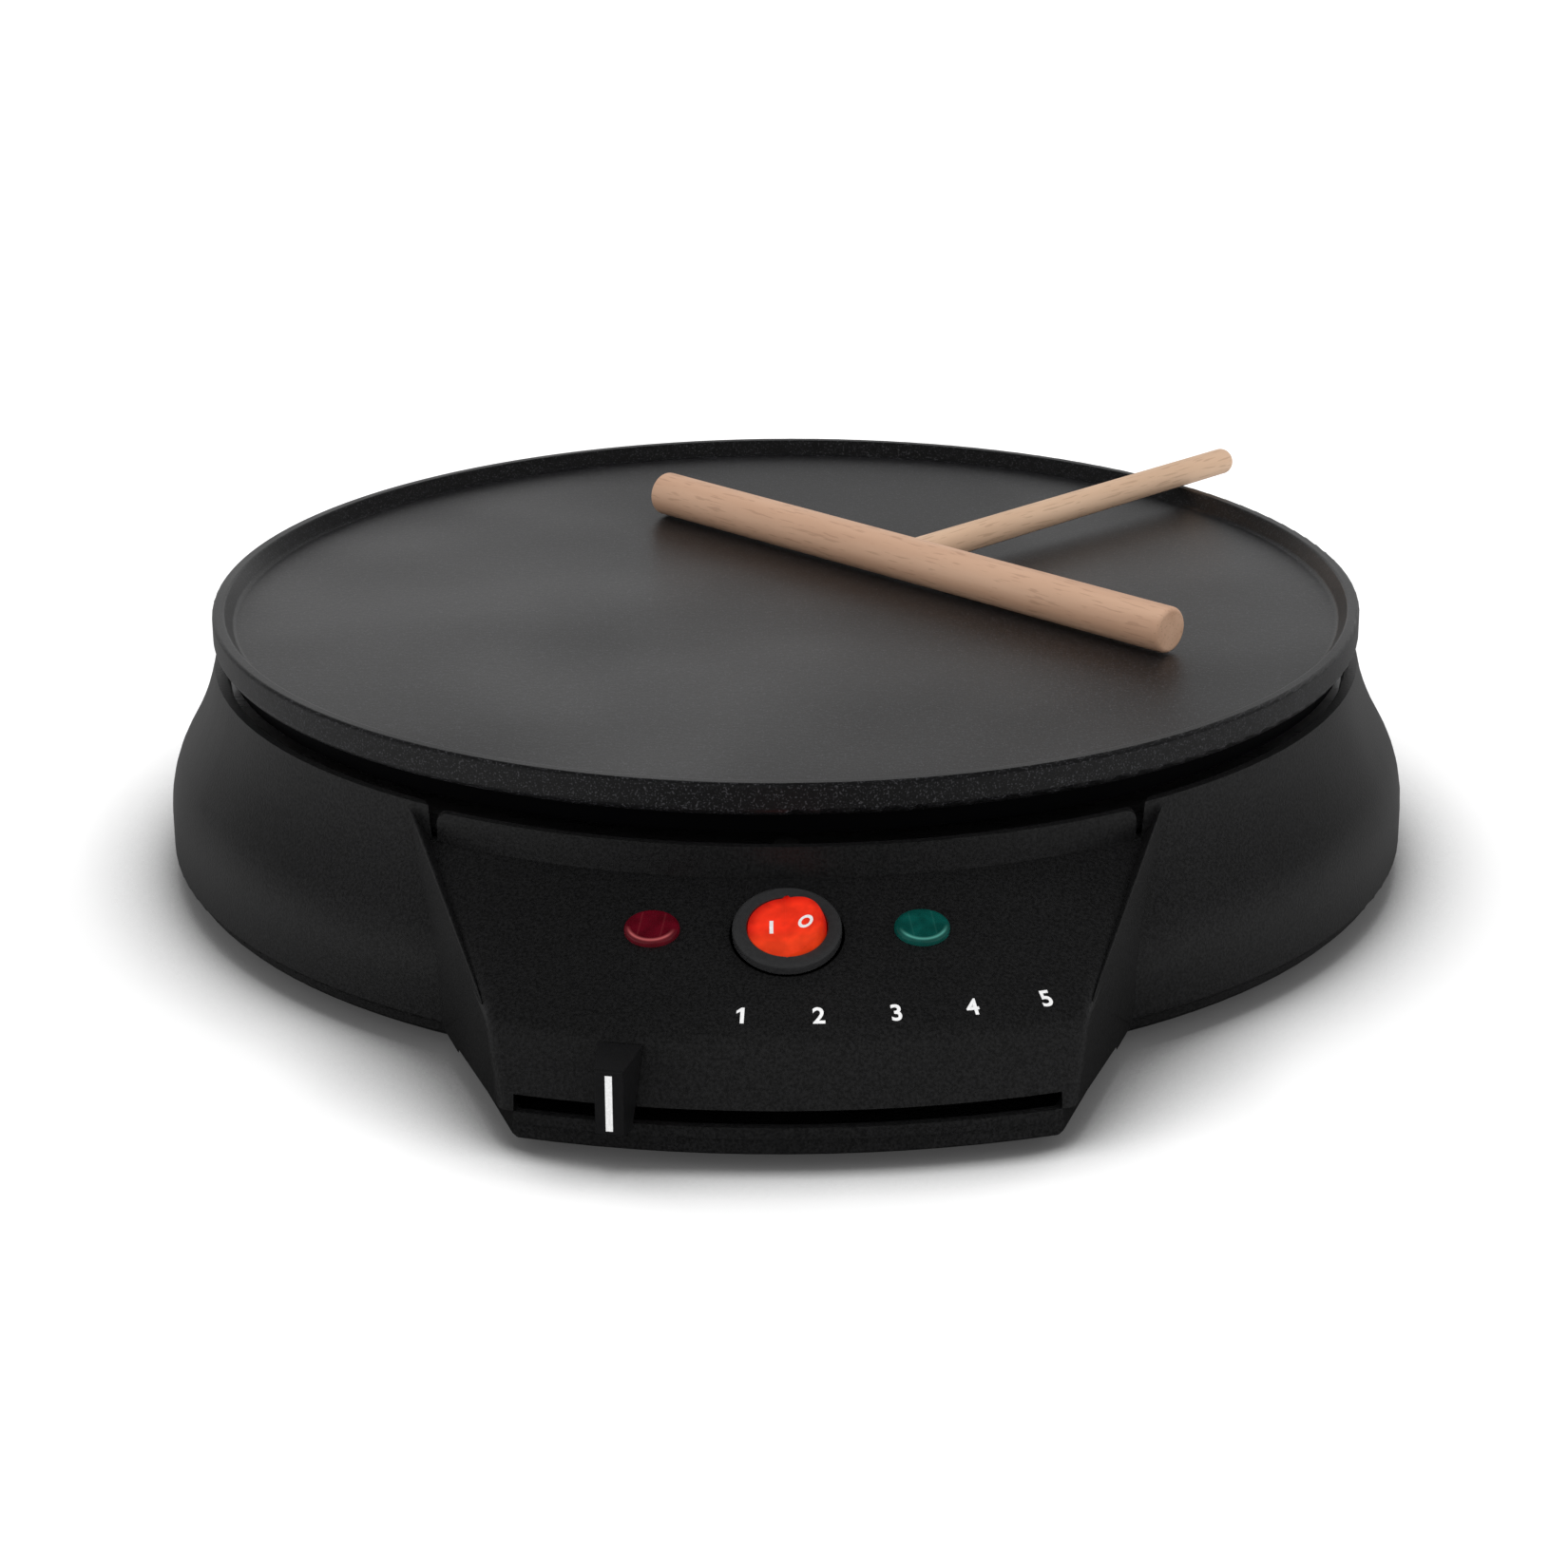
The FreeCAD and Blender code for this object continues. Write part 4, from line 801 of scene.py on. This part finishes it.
class FrameDresser:
    """Gives each carried-over construction node its finish."""

    def __init__(self, finishes: Finishes) -> None:
        """Pair every node with a finish.

        Args:
            finishes: The materials.
        """
        f = finishes
        self.pairs: dict[str, bpy.types.Material] = {
            "bottom_cover": f.cover, "rubber_feet": f.rubber, "case_screws": f.zinc,
            "upper_housing": f.housing, "cooking_plate": f.plate, "heating_element": f.heater,
            "heater_bushings": f.ceramic, "heat_reflector": f.sheet, "reflector_screws": f.zinc,
            "plate_standoffs": f.zinc, "plate_screws": f.zinc, "thermostat_body": f.thermostat,
            "thermostat_bracket": f.sheet, "bracket_rivets": f.zinc, "thermostat_shaft": f.zinc,
            "thermostat_lever": f.zinc, "slider_knob": f.knob, "knob_pointer": f.ink,
            "switch_body": f.switch, "switch_rocker": f.rocker, "switch_terminals": f.brass,
            "power_lamp_lens": f.red, "ready_lamp_lens": f.green, "neon_lamps": f.glass,
            "lamp_retainers": f.zinc, "cord_gland": f.rubber, "terminal_block": f.white,
            "thermal_fuse": f.zinc, "fuse_clip": f.sheet, "spreader_bar": f.bar,
            "spreader_handle": f.handle,
        }

    def dress(self) -> None:
        """Put the finishes on the nodes and report each one."""
        for name, node in frame["nodes"].items():
            finish = self.pairs.get(name, self.pairs["upper_housing"])
            node.data.materials.clear()
            node.data.materials.append(finish)
            LOG.info("dressed %s with %s", name, finish.name)


def mesh_of(name: str, shape: bmesh.types.BMesh) -> bpy.types.Mesh:
    """Turn a finished shape into a mesh with outward normals.

    Args:
        name: Name of the mesh.
        shape: The shape, which is freed.

    Returns:
        The mesh.
    """
    bmesh.ops.recalc_face_normals(shape, faces=shape.faces)
    mesh = bpy.data.meshes.new(name)
    shape.to_mesh(mesh)
    shape.free()
    return mesh


def stand(name: str, mesh: bpy.types.Mesh, finish: bpy.types.Material) -> bpy.types.Object:
    """Link a mesh as a piece at the origin.

    Args:
        name: Name of the piece.
        mesh: Its mesh.
        finish: Its material.

    Returns:
        The piece.
    """
    mesh.name = name
    mesh.materials.clear()
    mesh.materials.append(finish)
    piece = bpy.data.objects.new(name, mesh)
    bpy.context.scene.collection.objects.link(piece)
    LOG.info("made %s", name)
    return piece


@dataclass
class Print:
    """White lettering printed on a surface."""

    finish: bpy.types.Material
    thickness: float = 0.00004
    weight: float = 0.0
    capital_share: float = 0.7

    def letter(self, name: str, text: str, height: float, place: Matrix, body: str,
               narrow: float = 1.0) -> bpy.types.Object:
        """Make one printed mark as a thin mesh.

        Args:
            name: Name of the piece.
            text: The character.
            height: Height of a capital in metres.
            place: Placement of its middle.
            body: The body it rides on.
            narrow: Width factor.

        Returns:
            The piece.
        """
        curve = bpy.data.curves.new(name, "FONT")
        curve.body = text
        curve.align_x = "CENTER"
        curve.align_y = "CENTER"
        curve.size = height / self.capital_share
        curve.extrude = self.thickness
        curve.offset = self.weight
        holder = bpy.data.objects.new(name + "_text", curve)
        bpy.context.scene.collection.objects.link(holder)
        depsgraph = bpy.context.evaluated_depsgraph_get()
        mesh = bpy.data.meshes.new_from_object(holder.evaluated_get(depsgraph))
        bpy.data.objects.remove(holder)
        low, high = (Vector([pick(v.co[axis] for v in mesh.vertices) for axis in range(3)])
                     for pick in (min, max))
        centre = (low + high) / 2
        mesh.transform(Matrix.Diagonal((narrow, 1, 1, 1)) @ Matrix.Translation(-centre))
        mesh.transform(place)
        piece = stand(name, mesh, self.finish)
        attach(piece, body)
        return piece

    def outline(self, name: str, points: list[tuple[float, float]], place: Matrix,
                body: str) -> bpy.types.Object:
        """Make one printed mark from its outline.

        Args:
            name: Name of the piece.
            points: Corners of the outline, anticlockwise.
            place: Placement of its middle.
            body: The body it rides on.

        Returns:
            The piece.
        """
        shape = bmesh.new()
        face = shape.faces.new([shape.verts.new((x, y, -self.thickness)) for x, y in points])
        made = bmesh.ops.extrude_face_region(shape, geom=[face])
        risen = [v for v in made["geom"] if isinstance(v, bmesh.types.BMVert)]
        bmesh.ops.translate(shape, verts=risen, vec=(0, 0, 2 * self.thickness))
        mesh = mesh_of(name, shape)
        mesh.transform(place)
        piece = stand(name, mesh, self.finish)
        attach(piece, body)
        return piece


@dataclass
class TemperatureScale:
    """The numbers along the ridge."""

    panel: ControlPanel
    printer: Print
    height: float = 0.0045
    up: float = 0.0053
    first: float = -3.05
    step: float = 5.1
    count: int = 5
    lift: float = 0.00003
    narrow: float = 0.9

    def one_points(self) -> list[tuple[float, float]]:
        """Outline of a plain figure one with a short flag.

        Returns:
            The corners, anticlockwise, about the middle of the figure.
        """
        top = self.height / 2
        stem = self.height * 0.19
        right = self.height * 0.16
        return [(right - stem, -top), (right, -top), (right, top), (right - stem * 0.8, top),
                (-self.height * 0.22, top * 0.58), (-self.height * 0.22, top * 0.26),
                (right - stem, top * 0.5)]

    def build(self) -> None:
        """Print the numbers one to five."""
        for index in range(self.count):
            place = self.panel.frame(self.first + self.step * index, self.up)
            place = place @ Matrix.Translation((0, 0, self.lift))
            name = f"number_{index + 1}"
            if index == 0:
                self.printer.outline(name, self.one_points(), place, "base")
            else:
                self.printer.letter(name, str(index + 1), self.height, place, "base", self.narrow)


@dataclass
class CheekCrests:
    """Raised crest on each cheek: level with the panel at the ridge, rim high at the neck."""

    finish: bpy.types.Material
    start: tuple[float, float, float] = (66.9, -179.8, 30.1)
    foot: tuple[float, float, float] = (79.3, -144.6, 8.6)
    crown: tuple[float, float, float] = (87.9, -122.4, 55.4)
    inner: tuple[float, float, float] = (82.3, -127.6, 47.9)
    rounding: float = 0.9

    def one(self, name: str, side: int) -> None:
        """Make the crest of one side.

        Args:
            name: Name of the piece.
            side: -1 left or 1 right.
        """
        shape = bmesh.new()
        corners = []
        for x, y, z in (self.start, self.foot, self.crown, self.inner):
            corners.append(shape.verts.new((side * x * MM, AXIS_Y + y * MM, z * MM)))
        for picked in combinations(corners, 3):
            shape.faces.new(picked)
        bmesh.ops.recalc_face_normals(shape, faces=shape.faces)
        crest = [e for e in shape.edges if corners[2] in e.verts and corners[1] not in e.verts]
        bmesh.ops.bevel(shape, geom=crest, offset=self.rounding * MM, offset_type="OFFSET",
                        affect="EDGES", segments=4, profile=0.5, material=-1)
        piece = stand(name, mesh_of(name, shape), self.finish)
        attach(piece, "base")

    def build(self) -> None:
        """Make both crests."""
        self.one("cheek_crest_left", -1)
        self.one("cheek_crest_right", 1)


@dataclass
class RockerMarks:
    """On and off marks on the two faces of the rocker, seen with its left side pressed."""

    panel: ControlPanel
    finish: bpy.types.Material
    up: float = SWITCH_UP
    valley_z: float = 0.002082
    valley_x: float = -0.000166
    tilt: float = math.radians(24.0)
    lift: float = 0.00002
    thickness: float = 0.00005
    bar_size: tuple[float, float] = (0.00085, 0.0038)
    bar_along: float = -0.0033
    ring_outer: float = 0.0018
    ring_inner: float = 0.00105
    ring_along: float = 0.0047
    ring_steps: int = 48

    def place(self, along: float) -> Matrix:
        """Placement on a face of the rocker.

        Args:
            along: Distance from the valley, plus to the raised right side.

        Returns:
            The placement, with Z out of the face.
        """
        tilt = self.tilt if along > 0 else 0.0
        at = Vector((self.valley_x + along * math.cos(tilt), 0, self.valley_z + along * math.sin(tilt)))
        return (self.panel.frame(0, self.up) @ Matrix.Translation(at)
                @ Matrix.Rotation(-tilt, 4, "Y") @ Matrix.Translation((0, 0, self.lift)))

    def keep(self, name: str, shape: bmesh.types.BMesh, place: Matrix) -> None:
        """Store one mark as a piece that rides the rocker.

        Args:
            name: Name of the piece.
            shape: Its shape.
            place: Its placement.
        """
        mesh = mesh_of(name, shape)
        mesh.transform(place)
        piece = stand(name, mesh, self.finish)
        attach(piece, "rocker")

    def bar(self) -> None:
        """Print the upright bar of the pressed side."""
        shape = bmesh.new()
        bmesh.ops.create_cube(shape, size=1.0)
        bmesh.ops.scale(shape, verts=shape.verts, vec=(*self.bar_size, self.thickness))
        self.keep("mark_on", shape, self.place(self.bar_along))

    def ring(self) -> None:
        """Print the ring of the raised side."""
        shape = bmesh.new()
        half = self.thickness / 2
        outline = [(self.ring_outer, -half), (self.ring_outer, half),
                   (self.ring_inner, half), (self.ring_inner, -half)]
        corners = [shape.verts.new((radius, 0, z)) for radius, z in outline]
        face = shape.faces.new(corners)
        bmesh.ops.spin(shape, geom=[face] + face.edges[:] + face.verts[:], cent=(0, 0, 0),
                       axis=(0, 0, 1), angle=math.tau, steps=self.ring_steps, use_merge=True)
        self.keep("mark_off", shape, self.place(self.ring_along))

    def build(self) -> None:
        """Print both marks."""
        self.bar()
        self.ring()


@dataclass
class Studio:
    """Pale floor, even light and the camera.

    The reflections are lit as in a photographer's tent: a bright horizon behind the object, a
    dim ceiling, and little in front.
    """

    focal_px: float = 3700.0
    frame_px: float = 1650.0
    camera_back: float = 0.8877
    camera_up: float = 0.3473
    tilt: float = math.radians(18.66)
    axis_row_px: float = 700.0
    roll: float = math.radians(-0.25)
    shift_px: float = 2.0
    horizon: float = 0.3
    ceiling: float = 0.8
    horizon_level: float = 0.72
    ceiling_level: float = 0.11
    front_level: float = 0.16
    fill_level: float = 1.04
    shadow_reach: float = 0.05
    floor_glow: float = 0.3
    floor_half: float = 6.0
    floor_white: float = 0.9
    shade_span: tuple[float, float] = (0.45, 0.88)
    shade_least: float = 0.16
    side_span: tuple[float, float] = (0.06, 0.2)
    side_least: float = 0.06
    close_span: tuple[float, float] = (0.27, 0.38)
    close_level: float = 0.22
    far_level: float = 0.24
    back_span: tuple[float, float] = (0.55, 0.95)
    sensor: float = 36.0

    def camera(self) -> None:
        """Stand the camera where the photograph was taken."""
        data = bpy.data.cameras.new("camera")
        data.sensor_width = self.sensor
        data.lens = self.sensor * self.focal_px / self.frame_px
        data.shift_y = (self.axis_row_px - self.frame_px / 2) / self.frame_px
        data.shift_x = -self.shift_px / self.frame_px
        data.clip_end = 20.0
        eye = bpy.data.objects.new("camera", data)
        eye.location = (0, AXIS_Y - self.camera_back, self.camera_up)
        turn = Matrix.Rotation(math.pi / 2 - self.tilt, 4, "X") @ Matrix.Rotation(self.roll, 4, "Z")
        eye.rotation_euler = turn.to_euler()
        bpy.context.scene.collection.objects.link(eye)
        bpy.context.scene.camera = eye

    def floor(self) -> None:
        """Lay a pale floor that keeps the shadow and reads as white."""
        shape = bmesh.new()
        bmesh.ops.create_grid(shape, x_segments=1, y_segments=1, size=self.floor_half)
        mesh = bpy.data.meshes.new("floor")
        shape.to_mesh(mesh)
        shape.free()
        material = bpy.data.materials.new("floor")
        material.use_nodes = True
        material.node_tree.nodes.clear()
        self.cloth(Wiring(material.node_tree))
        stand("floor", mesh, material)

    def cloth(self, tree: Wiring) -> None:
        """Shade the floor: white, darker close under things, dim where reflected in front.

        Args:
            tree: The floor material's empty tree.
        """
        near = tree.node("ShaderNodeAmbientOcclusion")
        near.inputs["Distance"].default_value = self.shadow_reach
        soft = tree.spread(near.outputs["AO"], self.shade_least, 1.0, self.shade_span)
        where = tree.node("ShaderNodeTexCoord")
        parts = tree.node("ShaderNodeSeparateXYZ")
        tree.join(where.outputs["Object"], parts.inputs[0])
        reach = tree.node("ShaderNodeVectorMath", operation="LENGTH")
        tree.join(where.outputs["Object"], reach.inputs[0])
        side = tree.spread(tree.math("ABSOLUTE", parts.outputs["X"]), self.side_least, 1.0,
                           self.side_span, smooth=True)
        close = tree.spread(reach.outputs["Value"], self.close_level, self.far_level,
                            self.close_span, smooth=True)
        zone = tree.math("MULTIPLY", side, close)
        path = tree.node("ShaderNodeLightPath")
        tone = tree.mix(path.outputs["Is Glossy Ray"], self.floor_white, zone)
        level = tree.math("MULTIPLY", tone, soft)
        cloth = tree.node("ShaderNodeBsdfDiffuse")
        tree.join(level, cloth.inputs["Color"])
        glow = tree.node("ShaderNodeEmission")
        tree.join(tree.math("MULTIPLY", level, self.floor_glow), glow.inputs["Strength"])
        add = tree.node("ShaderNodeAddShader")
        tree.join(cloth.outputs[0], add.inputs[0])
        tree.join(glow.outputs[0], add.inputs[1])
        tree.join(add.outputs[0], tree.node("ShaderNodeOutputMaterial").inputs["Surface"])

    def world(self) -> None:
        """Even light from all round; reflections see a bright horizon under a dim ceiling."""
        world = bpy.data.worlds.new("studio")
        world.use_nodes = True
        tree = Wiring(world.node_tree)
        tree.tree.nodes.clear()
        where = tree.node("ShaderNodeTexCoord")
        parts = tree.node("ShaderNodeSeparateXYZ")
        tree.join(where.outputs["Object"], parts.inputs[0])
        depth = tree.spread(parts.outputs["Y"], self.front_level, 1.0, self.back_span, smooth=True)
        height = tree.spread(parts.outputs["Z"], self.horizon_level, self.ceiling_level,
                             (self.horizon, self.ceiling), smooth=True)
        path = tree.node("ShaderNodeLightPath")
        level = tree.mix(path.outputs["Is Glossy Ray"], self.fill_level,
                         tree.math("MULTIPLY", height, depth))
        straight = tree.math("MAXIMUM", path.outputs["Is Camera Ray"],
                             path.outputs["Is Transmission Ray"])
        back = tree.node("ShaderNodeBackground")
        back.inputs["Color"].default_value = (1, 1, 1, 1)
        tree.join(tree.mix(straight, level, 1.0), back.inputs["Strength"])
        tree.join(back.outputs[0], tree.node("ShaderNodeOutputWorld").inputs["Surface"])
        bpy.context.scene.world = world

    def build(self) -> None:
        """Set up the whole studio."""
        self.camera()
        self.floor()
        self.world()
        bpy.context.scene.view_settings.view_transform = "Standard"


def main() -> None:
    """Build every sub-assembly's looks in order."""
    logging.basicConfig(level=logging.INFO)
    panel = ControlPanel()
    finishes = Finishes(panel)
    FrameDresser(finishes).dress()
    TemperatureScale(panel, Print(finishes.ink, weight=NUMBER_WEIGHT)).build()
    RockerMarks(panel, finishes.ink).build()
    CheekCrests(finishes.housing).build()
    Studio().build()


if __name__ == "__main__":
    main()
